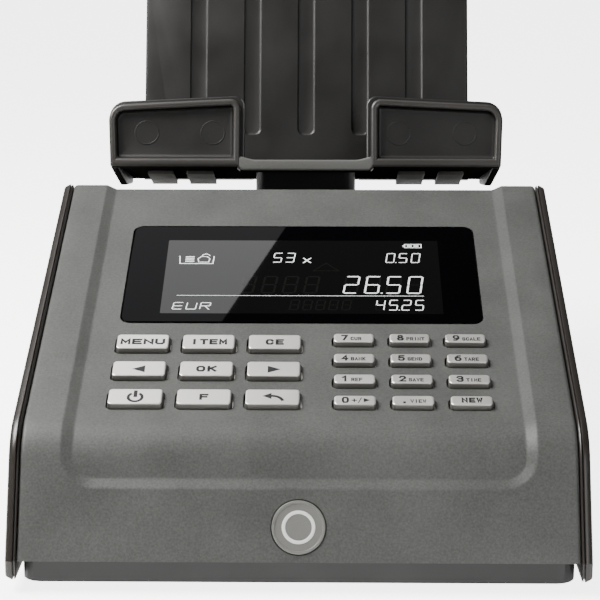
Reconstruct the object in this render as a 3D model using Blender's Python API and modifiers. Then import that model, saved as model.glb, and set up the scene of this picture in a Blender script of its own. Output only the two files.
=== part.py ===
"""A counting scale for banknotes and coins: a wedge-shaped console and a note tray on a load cell.

Lengths are in metres and +Z is up. The front faces -Y. The origin is on the table, under the
middle of the whole object.
"""

import math

import bmesh
import bpy
from mathutils import Matrix, Vector

MM = 0.001
GAP = 0.3 * MM  # between pieces that rest on each other
OBJECT_NAME = "banknote_counting_scale"

# The console, seen from the side
BODY_WIDTH = 150 * MM
COVER_BOTTOM = 8.3 * MM
FRONT_SLOPE = math.radians(64.3)
FRONT_LENGTH = 33 * MM
PANEL_SLOPE = math.radians(20.1)
PANEL_LENGTH = 127.3 * MM
RIDGE_DROP = 23.2 * MM
RIDGE_DROP_RUN = 5 * MM
DECK_FALL = 4 * MM
REAR_LEAN = 3 * MM
KINK_RADIUS = 17 * MM
RIDGE_RADIUS = 2 * MM
DROP_RADIUS = 4 * MM
REAR_RADIUS = 9 * MM

# The shells
CHEEK_THICKNESS = 2.4 * MM
CHEEK_GROOVE = 0.6 * MM
CHEEK_PROUD = 0.4 * MM
CHEEK_BOTTOM = 3.2 * MM
WALL = 2.2 * MM
RECESS_DEPTH = 1.3 * MM
RECESS_WIDTH = 122 * MM
RECESS_DOWN_FRONT = 12.9 * MM
BASE_BOTTOM = 2.5 * MM
BASE_FLOOR = 2.5 * MM
BASE_INSET = 1.0 * MM
BASE_LIP = 5 * MM
BASE_CORNER = 5 * MM
FOOT_RADIUS = 6 * MM
FOOT_SINK = 1.2 * MM
FOOT_INSET = (24 * MM, 15 * MM)

# The display
WINDOW_WIDTH = 102 * MM
WINDOW_HEIGHT = 51.2 * MM
WINDOW_START = 52.0 * MM
WINDOW_THICKNESS = 1.2 * MM
WINDOW_PROUD = 0.2 * MM
WINDOW_CORNER = 3 * MM
WINDOW_LEDGE = 4 * MM
LCD_THICKNESS = 6 * MM

# The keys: each block is a grid, from its top left key
KEY_CLEARANCE = 0.5 * MM
KEY_PROUD = 1.5 * MM
KEY_CORNER = 1.2 * MM
KEY_BEVEL = 0.5 * MM
KEY_FLANGE = 0.9 * MM
KEY_FLANGE_THICKNESS = 1.0 * MM
KEY_TRAVEL = 1.2 * MM
COMMAND_KEY = (14.65 * MM, 6.9 * MM)
COMMAND_START = (-43.6 * MM, 40.9 * MM)
COMMAND_PITCH = (18.2 * MM, 12.6 * MM)
COMMAND_NAMES = (("menu", "item", "clear"), ("left", "ok", "right"), ("power", "function", "back"))
NUMBER_KEY = (11.3 * MM, 4.3 * MM)
NUMBER_START = (14.6 * MM, 42.9 * MM)
NUMBER_PITCH = (15.4 * MM, 9.5 * MM)
NUMBER_NAMES = (("7", "8", "9"), ("4", "5", "6"), ("1", "2", "3"), ("0", "point", "new"))
MAT_THICKNESS = 1.0 * MM
DOME_HEIGHT = 0.8 * MM
DOME_RADIUS = 1.7 * MM
BOARD_THICKNESS = 1.6 * MM
KEYPAD_MARGIN = 4 * MM

# The badge on the front face
BADGE_RADIUS = 6.9 * MM
BADGE_THICKNESS = 0.9 * MM
BADGE_PROUD = 0.3 * MM
BADGE_DOWN_FRONT = 24 * MM

# The tray, which leans back on its tilted floor
TRAY_BEHIND_RIDGE = 42.1 * MM
TRAY_BELOW_RIDGE = 1.2 * MM
REAR_BEHIND_TRAY = 40 * MM  # from the tray's front to the console's rear
TRAY_LEAN = math.radians(20)
TRAY_WIDTH = 129.8 * MM
TRAY_STEP = 0.5 * MM  # from a wing's outer face to the floor's edge and the skirt
TRAY_FLOOR_THICKNESS = 2.0 * MM
WING_INNER = 21.7 * MM
WING_HEIGHT = 21.0 * MM
WING_TAPER = 2.2 * MM
WING_FLARE = 0.05  # outwards, for each unit of height
WING_FOOT = 0.4 * MM
WING_STAND_OFF = 1.6 * MM
WING_PLATE = 1.6 * MM
WING_RIM_DEPTH = 2.8 * MM
WING_RIM_WIDTH = 2.7 * MM
WING_BORDER = 1.4 * MM
WING_CORNER_OUTER = 5 * MM
WING_CORNER_INNER = 3.2 * MM
RAIL_HEIGHT = 3.8 * MM
RAIL_TOP = 0.3 * MM
SKIRT_THICKNESS = 2.6 * MM
SKIRT_DROP = 4.0 * MM
SKIRT_SHARE = 0.9  # of the floor's depth
REST_WIDTH = 112 * MM
REST_LENGTH = 76 * MM
REST_THICKNESS = 2.2 * MM
REST_CORNER = 9 * MM
GROOVE_DEPTH = 0.8 * MM
GROOVE_SHARE = 0.7  # of the rest's length
GROOVE_LIFT = 0.05  # above the rest's middle, for each unit of its length
GROOVES = 5
TONGUES = ((31 * MM, 40 * MM), (44.5 * MM, 53 * MM))
TONGUE_LENGTH = 19 * MM
TONGUE_THICKNESS = 1.2 * MM

# The stem that carries the tray, and the load cell under it
STEM_WIDTH = 33.5 * MM
STEM_DEPTH = 20 * MM
STEM_CORNER = 4 * MM
STEM_WALL = 1.8 * MM
STEM_BEHIND_TRAY = 10.5 * MM
STEM_FLOOR = 9 * MM
STEM_HOLE_CLEARANCE = 1.5 * MM
PLUG_CLEARANCE = 0.4 * MM
PLUG_MARGIN = 0.5 * MM  # from the plug to the rear edge of the tray's floor
PLUG_DEPTH = 9 * MM
CELL_LENGTH = 80 * MM
CELL_SIDE = 12.7 * MM
CELL_UNDERSIDE = 27 * MM
CELL_HOLE_MARGIN = 6 * MM
CELL_HOLE_PITCH = 8.8 * MM
CELL_BORE_RADIUS = 4.6 * MM
CELL_BORE_PITCH = 13 * MM
CELL_TRAVEL_GAP = 0.5 * MM
CELL_SCREW = 1.8 * MM
CELL_SCREW_HEAD = (3.2 * MM, 3.0 * MM)
CELL_SCREW_LENGTH = 20 * MM
MOUNT_WIDTH = 24 * MM
STOP_RADIUS = 2.5 * MM
STOP_GAP = 0.6 * MM

# The battery and its door, the boards and the sockets
CELL_BATTERY_RADIUS = 7.2 * MM
BATTERY_LENGTH = 56 * MM
BATTERY_COUNT = 3
BATTERY_REAR_GAP = 1.4 * MM
DOOR_WIDTH = 64 * MM
DOOR_DEPTH = 46 * MM
DOOR_FLANGE = 2.5 * MM
DOOR_FLANGE_THICKNESS = 1.2 * MM
MAIN_BOARD = (112 * MM, 72 * MM)
MAIN_BOARD_HEIGHT = 14 * MM
MAIN_BOARD_FRONT_GAP = 17 * MM
POST_RADIUS = 3 * MM
BUZZER_RADIUS = 6 * MM
BUZZER_HEIGHT = 8.5 * MM
SOCKET_HEIGHT = 24 * MM
JACK_X = -48 * MM
JACK_SIZE = (9.5 * MM, 13 * MM, 11 * MM)
JACK_BORE_RADIUS = 3.2 * MM
JACK_BORE_DEPTH = 9 * MM
JACK_PIN_RADIUS = 1.0 * MM
USB_X = 48 * MM
USB_SIZE = (12 * MM, 10 * MM, 6 * MM)
USB_MOUTH = (8.4 * MM, 3.0 * MM)
USB_MOUTH_DEPTH = 8 * MM
USB_MOUTH_CORNER = 0.5 * MM
USB_TONGUE = (5.6 * MM, 1.0 * MM)
CONTACT_ROOT = 1 * MM  # how far a pin or tongue is sunk in the floor of its socket

# The screws that hold the cover to the base
SCREW_RADIUS = 1.5 * MM
SCREW_HEAD = (3.0 * MM, 2.0 * MM)
SCREW_LENGTH = 12 * MM
BOSS_RADIUS = 4 * MM
BOSS_INSET = 10.5 * MM
BOSS_TOP = 9 * MM

# Places that follow from the sizes
ALONG_FRONT = Vector((math.cos(FRONT_SLOPE), math.sin(FRONT_SLOPE)))
ALONG_PANEL = Vector((math.cos(PANEL_SLOPE), math.sin(PANEL_SLOPE)))
PLUG_REAR = STEM_BEHIND_TRAY + STEM_DEPTH / 2 - STEM_WALL - PLUG_CLEARANCE
TRAY_FLOOR_DEPTH = (PLUG_REAR + PLUG_MARGIN) / math.cos(TRAY_LEAN)
TRAY_BACK = TRAY_FLOOR_DEPTH + GAP
RIDGE_RUN = FRONT_LENGTH * ALONG_FRONT.x + PANEL_LENGTH * ALONG_PANEL.x
REST_RUN = (TRAY_BACK + REST_THICKNESS) * math.cos(TRAY_LEAN) + REST_LENGTH * math.sin(TRAY_LEAN)
OVERALL_DEPTH = RIDGE_RUN + TRAY_BEHIND_RIDGE + REST_RUN
FRONT_Y = -OVERALL_DEPTH / 2
REAR_Y = FRONT_Y + RIDGE_RUN + TRAY_BEHIND_RIDGE + REAR_BEHIND_TRAY
COVER_HALF = BODY_WIDTH / 2 - CHEEK_THICKNESS - CHEEK_GROOVE
KINK = Vector((FRONT_Y, COVER_BOTTOM)) + FRONT_LENGTH * ALONG_FRONT
RIDGE = KINK + PANEL_LENGTH * ALONG_PANEL
DECK = RIDGE + Vector((RIDGE_DROP_RUN, -RIDGE_DROP))
TRAY_Z = RIDGE.y - TRAY_BELOW_RIDGE
STEM_Y = RIDGE.x + TRAY_BEHIND_RIDGE + STEM_BEHIND_TRAY
CELL_TOP = CELL_UNDERSIDE + CELL_SIDE
STEM_BOTTOM = CELL_TOP + CELL_TRAVEL_GAP
STEM_HOLLOW = STEM_BOTTOM + STEM_FLOOR
CELL_REAR = STEM_Y + CELL_HOLE_PITCH / 2 + CELL_HOLE_MARGIN
CELL_FRONT = CELL_REAR - CELL_LENGTH
BASE_TOP = BASE_BOTTOM + BASE_FLOOR
SKIN = RECESS_DEPTH + WALL
KEY_TOP = KEY_PROUD - RECESS_DEPTH
FLANGE_TOP = -SKIN - GAP
FLANGE_BOTTOM = FLANGE_TOP - KEY_FLANGE_THICKNESS
MAT_TOP = FLANGE_BOTTOM - KEY_TRAVEL - DOME_HEIGHT - GAP
BOARD_TOP = MAT_TOP - MAT_THICKNESS - GAP

# Frames: an outline lies in a frame's XY plane and is extruded along its Z
SIDE = Matrix(((0, 0, 1, 0), (1, 0, 0, 0), (0, 1, 0, 0), (0, 0, 0, 1)))
PLAN = Matrix.Identity(4)
PANEL = Matrix.Translation((0, KINK.x, KINK.y)) @ Matrix.Rotation(PANEL_SLOPE, 4, "X")
FRONT = Matrix.Translation((0, KINK.x, KINK.y)) @ Matrix.Rotation(FRONT_SLOPE, 4, "X")
TRAY = Matrix.Translation((0, RIDGE.x + TRAY_BEHIND_RIDGE, TRAY_Z)) @ Matrix.Rotation(
    math.pi / 2 - TRAY_LEAN, 4, "X"
)
ARC_STEPS = 4
ROUND_STEPS = 20


def clear_scene():
    """Remove every object, so that the model starts from nothing."""
    for old in list(bpy.data.objects):
        bpy.data.objects.remove(old, do_unlink=True)


def make_collection(name):
    """A new collection in the scene."""
    collection = bpy.data.collections.new(name)
    bpy.context.scene.collection.children.link(collection)
    return collection


clear_scene()
PARTS = make_collection(OBJECT_NAME)
CUTTERS = make_collection("cutters")


def make_material(name, colour, roughness, metallic=0.0):
    """A Principled BSDF material."""
    material = bpy.data.materials.new(name)
    material.use_nodes = True
    shader = material.node_tree.nodes["Principled BSDF"]
    shader.inputs["Base Color"].default_value = (*colour, 1)
    shader.inputs["Roughness"].default_value = roughness
    shader.inputs["Metallic"].default_value = metallic
    return material


def shade(mesh, angle=math.radians(35)):
    """Smooth shading, with the edges sharper than the angle kept crisp."""
    mesh.shade_smooth()
    mesh.set_sharp_from_angle(angle=angle)


def add_object(name, mesh, frame, collection):
    """An object of this mesh, placed by its frame."""
    mesh.name = name
    shade(mesh)
    made = bpy.data.objects.new(name, mesh)
    made.matrix_world = frame
    collection.objects.link(made)
    return made


def arc_corner(before, corner, after, radius):
    """The points of a corner that is rounded to a radius, between its two neighbours."""
    to_before = (before - corner).normalized()
    to_after = (after - corner).normalized()
    half = to_before.angle(to_after) / 2
    room = min((before - corner).length, (after - corner).length) * 0.49
    reach = min(radius / math.tan(half), room)
    true_radius = reach * math.tan(half)
    centre = corner + (to_before + to_after).normalized() * true_radius / math.sin(half)
    start = corner + to_before * reach - centre
    end = corner + to_after * reach - centre
    sweep = start.angle_signed(end)
    turned = [start.copy() for _ in range(ARC_STEPS + 1)]
    for step, point in enumerate(turned):
        point.rotate(Matrix.Rotation(-sweep * step / ARC_STEPS, 2))
    return [centre + point for point in turned]


def outline(corners):
    """The points of a closed outline from its (x, y, radius) corners."""
    points = []
    for index, (x, y, radius) in enumerate(corners):
        corner = Vector((x, y))
        if radius <= 0:
            points.append(corner)
            continue
        before = Vector(corners[index - 1][:2])
        after = Vector(corners[(index + 1) % len(corners)][:2])
        points += arc_corner(before, corner, after, radius)
    return points


def rectangle(width, height, radius=0, centre=(0, 0)):
    """The outline of a rectangle with rounded corners."""
    x, y = centre
    ends = ((1, -1), (1, 1), (-1, 1), (-1, -1))
    return outline([(x + a * width / 2, y + b * height / 2, radius) for a, b in ends])


def inset(corners, distances):
    """Corners whose edges are moved inwards. Edge i runs from corner i to the next one."""
    lines = []
    for index, (x, y, _) in enumerate(corners):
        end = corners[(index + 1) % len(corners)]
        along = (Vector(end[:2]) - Vector((x, y))).normalized()
        inwards = Vector((-along.y, along.x))
        lines.append((Vector((x, y)) + inwards * distances[index], along))
    moved = []
    for index, (_, _, radius) in enumerate(corners):
        (p, a), (q, b) = lines[index - 1], lines[index]
        turn = a.x * b.y - a.y * b.x
        reach = ((q - p).x * b.y - (q - p).y * b.x) / turn
        point = p + a * reach
        distance = max(distances[index - 1], distances[index])
        moved.append((point.x, point.y, max(radius - math.copysign(distance, turn), 0)))
    return moved


def prism(name, points, start, depth, frame, collection=PARTS):
    """A solid with this outline in the frame's XY plane, from z = start to start + depth."""
    curve = bpy.data.curves.new(name, "CURVE")
    curve.dimensions = "2D"
    curve.fill_mode = "BOTH"
    curve.extrude = depth / 2
    spline = curve.splines.new("POLY")
    spline.points.add(len(points) - 1)
    spline.use_cyclic_u = True
    for point, place in zip(spline.points, points):
        point.co = (place[0], place[1], 0, 1)
    drawn = bpy.data.objects.new(name + "_outline", curve)
    mesh = bpy.data.meshes.new_from_object(drawn)
    bpy.data.objects.remove(drawn)
    bpy.data.curves.remove(curve)
    shape = bmesh.new()
    shape.from_mesh(mesh)
    bmesh.ops.remove_doubles(shape, verts=shape.verts, dist=1e-6)
    bmesh.ops.translate(shape, verts=shape.verts, vec=(0, 0, start + depth / 2))
    bmesh.ops.recalc_face_normals(shape, faces=shape.faces)
    shape.to_mesh(mesh)
    shape.free()
    return add_object(name, mesh, frame, collection)


def box(name, low, high, frame=PLAN, collection=PARTS):
    """A box between two corners of the frame."""
    size = [b - a for a, b in zip(low, high)]
    middle = [(a + b) / 2 for a, b in zip(low, high)]
    mesh = bpy.data.meshes.new(name)
    shape = bmesh.new()
    bmesh.ops.create_cube(shape, size=1)
    bmesh.ops.scale(shape, verts=shape.verts, vec=size)
    bmesh.ops.translate(shape, verts=shape.verts, vec=middle)
    shape.to_mesh(mesh)
    shape.free()
    return add_object(name, mesh, frame, collection)


def turned(name, profile, frame, collection=PARTS, steps=ROUND_STEPS):
    """A turned solid about the frame's Z, from (radius, z) points that run from top to bottom."""
    points = [(0, profile[0][1]), *profile, (0, profile[-1][1])]
    mesh = bpy.data.meshes.new(name)
    edges = [(i, i + 1) for i in range(len(points) - 1)]
    mesh.from_pydata([(radius, 0, z) for radius, z in points], edges, [])
    made = add_object(name, mesh, frame, collection)
    screw = made.modifiers.new("turn", "SCREW")
    screw.steps = steps
    screw.render_steps = steps
    screw.use_merge_vertices = True
    screw.merge_threshold = 1e-5
    screw.use_smooth_shade = True
    return made


def rod(name, radius, low, high, frame, collection=PARTS, steps=ROUND_STEPS):
    """A round rod along the frame's Z, between two heights."""
    return turned(name, [(radius, high), (radius, low)], frame, collection, steps)


def combine(target, other, operation):
    """Use another object as a Boolean operand, and keep it out of the render."""
    modifier = target.modifiers.new(other.name, "BOOLEAN")
    modifier.operation = operation
    modifier.solver = "EXACT"
    modifier.object = other
    other.hide_render = True
    other.display_type = "WIRE"


def cut(target, other):
    combine(target, other, "DIFFERENCE")


def fuse(target, other):
    combine(target, other, "UNION")


def at(x, y, z=0.0, frame=PLAN):
    """The frame moved to a point of itself."""
    return frame @ Matrix.Translation((x, y, z))


def paint(material, *objects):
    for painted in objects:
        painted.data.materials.append(material)


def console_corners():
    """The console's side outline, anticlockwise from the front bottom corner."""
    rear_top = Vector((REAR_Y - REAR_LEAN, DECK.y - DECK_FALL))
    return [
        (FRONT_Y, COVER_BOTTOM, 0),
        (REAR_Y, COVER_BOTTOM, 0),
        (rear_top.x, rear_top.y, REAR_RADIUS),
        (DECK.x, DECK.y, DROP_RADIUS),
        (RIDGE.x, RIDGE.y, RIDGE_RADIUS),
        (KINK.x, KINK.y, KINK_RADIUS),
    ]


def panel_height(y):
    """The height of the sloping panel's outer face above the table."""
    return KINK.y + (y - KINK.x) * math.tan(PANEL_SLOPE)


def deck_height(y):
    """The height of the rear deck's outer face above the table."""
    return DECK.y - DECK_FALL * (y - DECK.x) / (REAR_Y - REAR_LEAN - DECK.x)


def key_grid(names, start, pitch):
    """(name, centre) of each key in a block."""
    for row, line in enumerate(names):
        for column, name in enumerate(line):
            yield "key_" + name, (start[0] + column * pitch[0], start[1] - row * pitch[1])


def all_keys():
    """(name, centre, size) of every key."""
    for name, centre in key_grid(COMMAND_NAMES, COMMAND_START, COMMAND_PITCH):
        yield name, centre, COMMAND_KEY
    for name, centre in key_grid(NUMBER_NAMES, NUMBER_START, NUMBER_PITCH):
        yield name, centre, NUMBER_KEY


def corner_places(inset_x, inset_y):
    """(name, x, y) of four places, inset from the console's sides and ends."""
    for side, x in (("left", -COVER_HALF + inset_x), ("right", COVER_HALF - inset_x)):
        for end, y in (("front", FRONT_Y + inset_y), ("rear", REAR_Y - inset_y)):
            yield f"{end}_{side}", x, y


def boss_places():
    """The screws' places: the front ones stand further in, where the panel is high enough."""
    for name, x, y in corner_places(BOSS_INSET, BOSS_INSET):
        yield name, x, y + (FRONT_LENGTH / 3 if y < 0 else 0)


def window_middle():
    return WINDOW_START + WINDOW_HEIGHT / 2


def make_top_cover():
    """The grey shell: a bent outline, hollowed from below, with its recess and openings."""
    corners = console_corners()
    cover = prism("top_cover", outline(corners), -COVER_HALF, 2 * COVER_HALF, SIDE)
    below = -2 * COVER_BOTTOM
    walls = [below, WALL, WALL, WALL, SKIN, WALL]
    cavity_half = COVER_HALF - WALL
    cavity = outline(inset(corners, walls))
    cut(cover, prism("cover_cavity", cavity, -cavity_half, 2 * cavity_half, SIDE, CUTTERS))
    for name, x, y in boss_places():
        roof = panel_height(y) if y < 0 else deck_height(y)
        fuse(cover, rod(f"boss_{name}", BOSS_RADIUS, BOSS_TOP + GAP, roof - WALL, at(x, y), CUTTERS, 12))
        hole_top = BASE_TOP + SCREW_LENGTH + GAP
        hole_radius = SCREW_RADIUS + GAP
        cut(cover, rod(f"boss_hole_{name}", hole_radius, 0, hole_top, at(x, y), CUTTERS, 12))
    cut(cover, recess_cutter())
    cut_window(cover)
    for name, centre, size in all_keys():
        hole = rectangle(*(side + 2 * KEY_CLEARANCE for side in size), KEY_CORNER + KEY_CLEARANCE)
        key_frame = at(*centre, 0, PANEL)
        cut(cover, prism(name + "_hole", hole, -2 * SKIN, 3 * SKIN, key_frame, CUTTERS))
    badge_radius = BADGE_RADIUS + GAP
    badge_floor = BADGE_PROUD - BADGE_THICKNESS - GAP
    badge_frame = at(0, -BADGE_DOWN_FRONT, 0, FRONT)
    cut(cover, rod("badge_pocket", badge_radius, badge_floor, WALL, badge_frame, CUTTERS, 24))
    clear = 2 * STEM_HOLE_CLEARANCE
    hole = rectangle(STEM_WIDTH + clear, STEM_DEPTH + clear, STEM_CORNER, (0, STEM_Y))
    cut(cover, prism("stem_hole", hole, DECK.y / 2, DECK.y, PLAN, CUTTERS))
    rear = at(0, REAR_Y, SOCKET_HEIGHT) @ Matrix.Rotation(math.pi / 2, 4, "X")
    reach = 2 * (WALL + REAR_LEAN)
    jack_radius = JACK_BORE_RADIUS + GAP
    cut(cover, rod("jack_hole", jack_radius, -reach, reach, at(JACK_X, 0, 0, rear), CUTTERS, 16))
    mouth_size = (side + 2 * GAP for side in USB_MOUTH)
    mouth = rectangle(*mouth_size, USB_MOUTH_CORNER, (USB_X, 0))
    cut(cover, prism("usb_hole", mouth, -reach, 2 * reach, rear, CUTTERS))
    return cover


def recess_cutter():
    """The shallow recess that holds the display and keys and runs over onto the front face."""
    lip = KINK - RECESS_DOWN_FRONT * ALONG_FRONT
    front_out = Vector((-ALONG_FRONT.y, ALONG_FRONT.x))
    panel_out = Vector((-ALONG_PANEL.y, ALONG_PANEL.x))
    past_ridge = RIDGE + SKIN * ALONG_PANEL
    floor_kink = inset([(*lip, 0), (*past_ridge, 0), (*KINK, 0)], (0, RECESS_DEPTH, RECESS_DEPTH))[2]
    high = 10 * RECESS_DEPTH
    corners = [
        (*(lip - front_out * RECESS_DEPTH), 0),
        (*floor_kink[:2], KINK_RADIUS - RECESS_DEPTH),
        (*(past_ridge - panel_out * RECESS_DEPTH), 0),
        (*(past_ridge + panel_out * high), 0),
        (*(lip + front_out * high), 0),
    ]
    return prism("recess", outline(corners), -RECESS_WIDTH / 2, RECESS_WIDTH, SIDE, CUTTERS)


def cut_window(cover):
    """The ledge that the display window lies in, and the opening under it."""
    middle = (0, window_middle())
    clear = 2 * GAP
    pocket = rectangle(WINDOW_WIDTH + clear, WINDOW_HEIGHT + clear, WINDOW_CORNER + GAP, middle)
    floor = WINDOW_PROUD - WINDOW_THICKNESS - GAP - RECESS_DEPTH
    cut(cover, prism("window_pocket", pocket, floor, SKIN, PANEL, CUTTERS))
    view = rectangle(WINDOW_WIDTH - 2 * WINDOW_LEDGE, WINDOW_HEIGHT - 2 * WINDOW_LEDGE, 0, middle)
    cut(cover, prism("window_view", view, -2 * SKIN, 2 * SKIN, PANEL, CUTTERS))


def make_cheek(name, side):
    """A flat side plate that follows the console's outline and drops straight to its lower edge."""
    feet = [(FRONT_Y, CHEEK_BOTTOM, 0), (REAR_Y, CHEEK_BOTTOM, 0)]
    front, *others = console_corners()
    corners = [*feet, *others, front]
    proud = [0] + (len(corners) - 1) * [-CHEEK_PROUD]
    start = side * (COVER_HALF + CHEEK_GROOVE)
    low = min(start, start + side * CHEEK_THICKNESS)
    return prism(name, outline(inset(corners, proud)), low, CHEEK_THICKNESS, SIDE)


def make_base_shell():
    """The black tray that closes the console from below."""
    half = COVER_HALF - BASE_INSET
    front, rear = FRONT_Y + BASE_INSET, REAR_Y - BASE_INSET
    middle = (0, (front + rear) / 2)
    rim_height = COVER_BOTTOM - GAP - BASE_BOTTOM
    rim = rectangle(2 * half, rear - front, BASE_CORNER, middle)
    base = prism("base_shell", rim, BASE_BOTTOM, rim_height, PLAN)
    lip_front = FRONT_Y + WALL / math.sin(FRONT_SLOPE) + BASE_LIP / math.tan(FRONT_SLOPE) + 2 * GAP
    lip_rear = REAR_Y - WALL - 2 * GAP - REAR_LEAN * BASE_LIP / (DECK.y - COVER_BOTTOM)
    lip_half = COVER_HALF - WALL - GAP
    lip_middle = (0, (lip_front + lip_rear) / 2)
    lip = rectangle(2 * lip_half, lip_rear - lip_front, 0, lip_middle)
    fuse(base, prism("base_lip", lip, BASE_TOP - GAP, COVER_BOTTOM + BASE_LIP - BASE_TOP, PLAN, CUTTERS))
    pocket = rectangle(2 * (lip_half - WALL), lip_rear - lip_front - 2 * WALL, 0, lip_middle)
    cut(base, prism("base_pocket", pocket, BASE_TOP, COVER_BOTTOM + 2 * BASE_LIP, PLAN, CUTTERS))
    for name, x, y in boss_places():
        fuse(base, rod(f"base_boss_{name}", BOSS_RADIUS, BASE_BOTTOM + GAP, BOSS_TOP, at(x, y), CUTTERS, 16))
        head_radius, head_height = SCREW_HEAD
        head_top = BASE_TOP + head_height / 2 + GAP
        cut(base, rod(f"base_hole_{name}", SCREW_RADIUS + GAP, 0, 2 * BOSS_TOP, at(x, y), CUTTERS, 12))
        cut(base, rod(f"base_sink_{name}", head_radius + GAP, 0, head_top, at(x, y), CUTTERS, 16))
    for name, x, y in corner_places(*FOOT_INSET):
        recess_top = BASE_BOTTOM + FOOT_SINK
        cut(base, rod(f"foot_recess_{name}", FOOT_RADIUS + GAP, 0, recess_top, at(x, y), CUTTERS, 20))
    for name, x, y in board_posts():
        post_top = MAIN_BOARD_HEIGHT - GAP
        fuse(base, rod(f"post_{name}", POST_RADIUS, BASE_TOP - GAP, post_top, at(x, y), CUTTERS, 10))
    door_half = DOOR_WIDTH / 2 + GAP
    door_front = REAR_Y - BASE_INSET - DOOR_DEPTH
    flange_top = BASE_TOP + 2 * GAP + DOOR_FLANGE_THICKNESS
    low = (-door_half, door_front - GAP, 0)
    cut(base, box("door_opening", low, (door_half, 2 * REAR_Y, BASE_TOP + GAP), PLAN, CUTTERS))
    low = (-door_half - DOOR_FLANGE, lip_rear - 2 * WALL, BASE_TOP)
    high = (door_half + DOOR_FLANGE, 2 * REAR_Y, flange_top)
    cut(base, box("door_slot", low, high, PLAN, CUTTERS))
    return base


def board_places():
    """The main board's middle."""
    return (0, FRONT_Y + MAIN_BOARD_FRONT_GAP + MAIN_BOARD[1] / 2)


def board_posts():
    """(name, x, y) of the posts under the main board's corners."""
    x, y = board_places()
    reach_x = MAIN_BOARD[0] / 2 - 2 * POST_RADIUS
    reach_y = MAIN_BOARD[1] / 2 - 2 * POST_RADIUS
    for side in (-1, 1):
        for end in (-1, 1):
            yield f"{side}_{end}", x + side * reach_x, y + end * reach_y


def make_display():
    """The black window and the display module under it."""
    middle = (0, window_middle())
    outline_points = rectangle(WINDOW_WIDTH, WINDOW_HEIGHT, WINDOW_CORNER, middle)
    top = WINDOW_PROUD - RECESS_DEPTH
    window = prism("display_window", outline_points, top - WINDOW_THICKNESS, WINDOW_THICKNESS, PANEL)
    module_outline = rectangle(WINDOW_WIDTH - WINDOW_LEDGE, WINDOW_HEIGHT - WINDOW_LEDGE, 0, middle)
    module_top = -SKIN - GAP
    module = prism("lcd_module", module_outline, module_top - LCD_THICKNESS, LCD_THICKNESS, PANEL)
    return window, module


def make_key(name, centre, size):
    """A key cap with a bevelled top, and a flange that keeps it under the cover."""
    frame = at(*centre, 0, PANEL)
    shoulder = KEY_TOP - KEY_BEVEL
    cap = rectangle(*size, KEY_CORNER)
    key = prism(name, cap, FLANGE_BOTTOM, shoulder - FLANGE_BOTTOM, frame)
    bevelled = prism(name + "_top", cap, shoulder, KEY_BEVEL, frame, CUTTERS)
    for vertex in bevelled.data.vertices:
        if vertex.co.z > KEY_TOP - KEY_BEVEL / 2:
            vertex.co.x -= math.copysign(KEY_BEVEL, vertex.co.x)
            vertex.co.y -= math.copysign(KEY_BEVEL, vertex.co.y)
        else:
            vertex.co.z -= KEY_BEVEL
    fuse(key, bevelled)
    wide = rectangle(*(side + 2 * KEY_FLANGE for side in size))
    fuse(key, prism(name + "_flange", wide, FLANGE_BOTTOM, KEY_FLANGE_THICKNESS, frame, CUTTERS))
    return key


def keypad_outline():
    """The outline of the mat and the board under all keys."""
    left = COMMAND_START[0] - COMMAND_KEY[0] / 2 - KEYPAD_MARGIN
    right = NUMBER_START[0] + 2 * NUMBER_PITCH[0] + NUMBER_KEY[0] / 2 + KEYPAD_MARGIN
    bottom = NUMBER_START[1] - (len(NUMBER_NAMES) - 1) * NUMBER_PITCH[1] - COMMAND_KEY[1] / 2
    top = WINDOW_START - GAP
    return rectangle(right - left, top - bottom, 0, ((left + right) / 2, (top + bottom) / 2))


def make_keypad():
    """The silicone mat with a dome under each key, and the board with its contacts."""
    mat = prism("keypad_mat", keypad_outline(), MAT_TOP - MAT_THICKNESS, MAT_THICKNESS, PANEL)
    for name, centre, _ in all_keys():
        dome_top = MAT_TOP + DOME_HEIGHT
        low = MAT_TOP - MAT_THICKNESS / 2
        fuse(mat, rod(name + "_dome", DOME_RADIUS, low, dome_top, at(*centre, 0, PANEL), CUTTERS, 8))
    board = prism("keypad_board", keypad_outline(), BOARD_TOP - BOARD_THICKNESS, BOARD_THICKNESS, PANEL)
    return mat, board


def make_badge():
    """A plain round disc in the middle of the front face."""
    low = BADGE_PROUD - BADGE_THICKNESS
    return rod("badge_disc", BADGE_RADIUS, low, BADGE_PROUD, at(0, -BADGE_DOWN_FRONT, 0, FRONT), steps=32)


def wing_corners(side, border):
    """A wing's outline in the tray's frame, grown by a border at its top and inner edge."""
    inner = WING_INNER - border
    outer = TRAY_WIDTH / 2
    top = WING_HEIGHT - WING_TAPER + border
    corners = [
        (side * inner, -TRAY_FLOOR_THICKNESS - WING_FOOT, 0),
        (side * outer, -TRAY_FLOOR_THICKNESS - WING_FOOT, 0),
        (side * outer, 0, 0),
        (side * (outer + top * WING_FLARE), top, WING_CORNER_OUTER),
        (side * inner, WING_HEIGHT + border, WING_CORNER_INNER),
    ]
    return outline(corners)


def dish_corners(side):
    """The outline of the shallow dish in a wing's front."""
    inner = WING_INNER + WING_RIM_WIDTH
    outer = TRAY_WIDTH / 2 - WING_RIM_WIDTH
    top = WING_HEIGHT - WING_TAPER - WING_RIM_WIDTH
    corners = [
        (side * inner, WING_RIM_WIDTH, 0),
        (side * outer, WING_RIM_WIDTH, 0),
        (side * (outer + top * WING_FLARE), top, WING_CORNER_INNER),
        (side * inner, WING_HEIGHT - WING_RIM_WIDTH, WING_CORNER_INNER / 2),
    ]
    return outline(corners)


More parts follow.
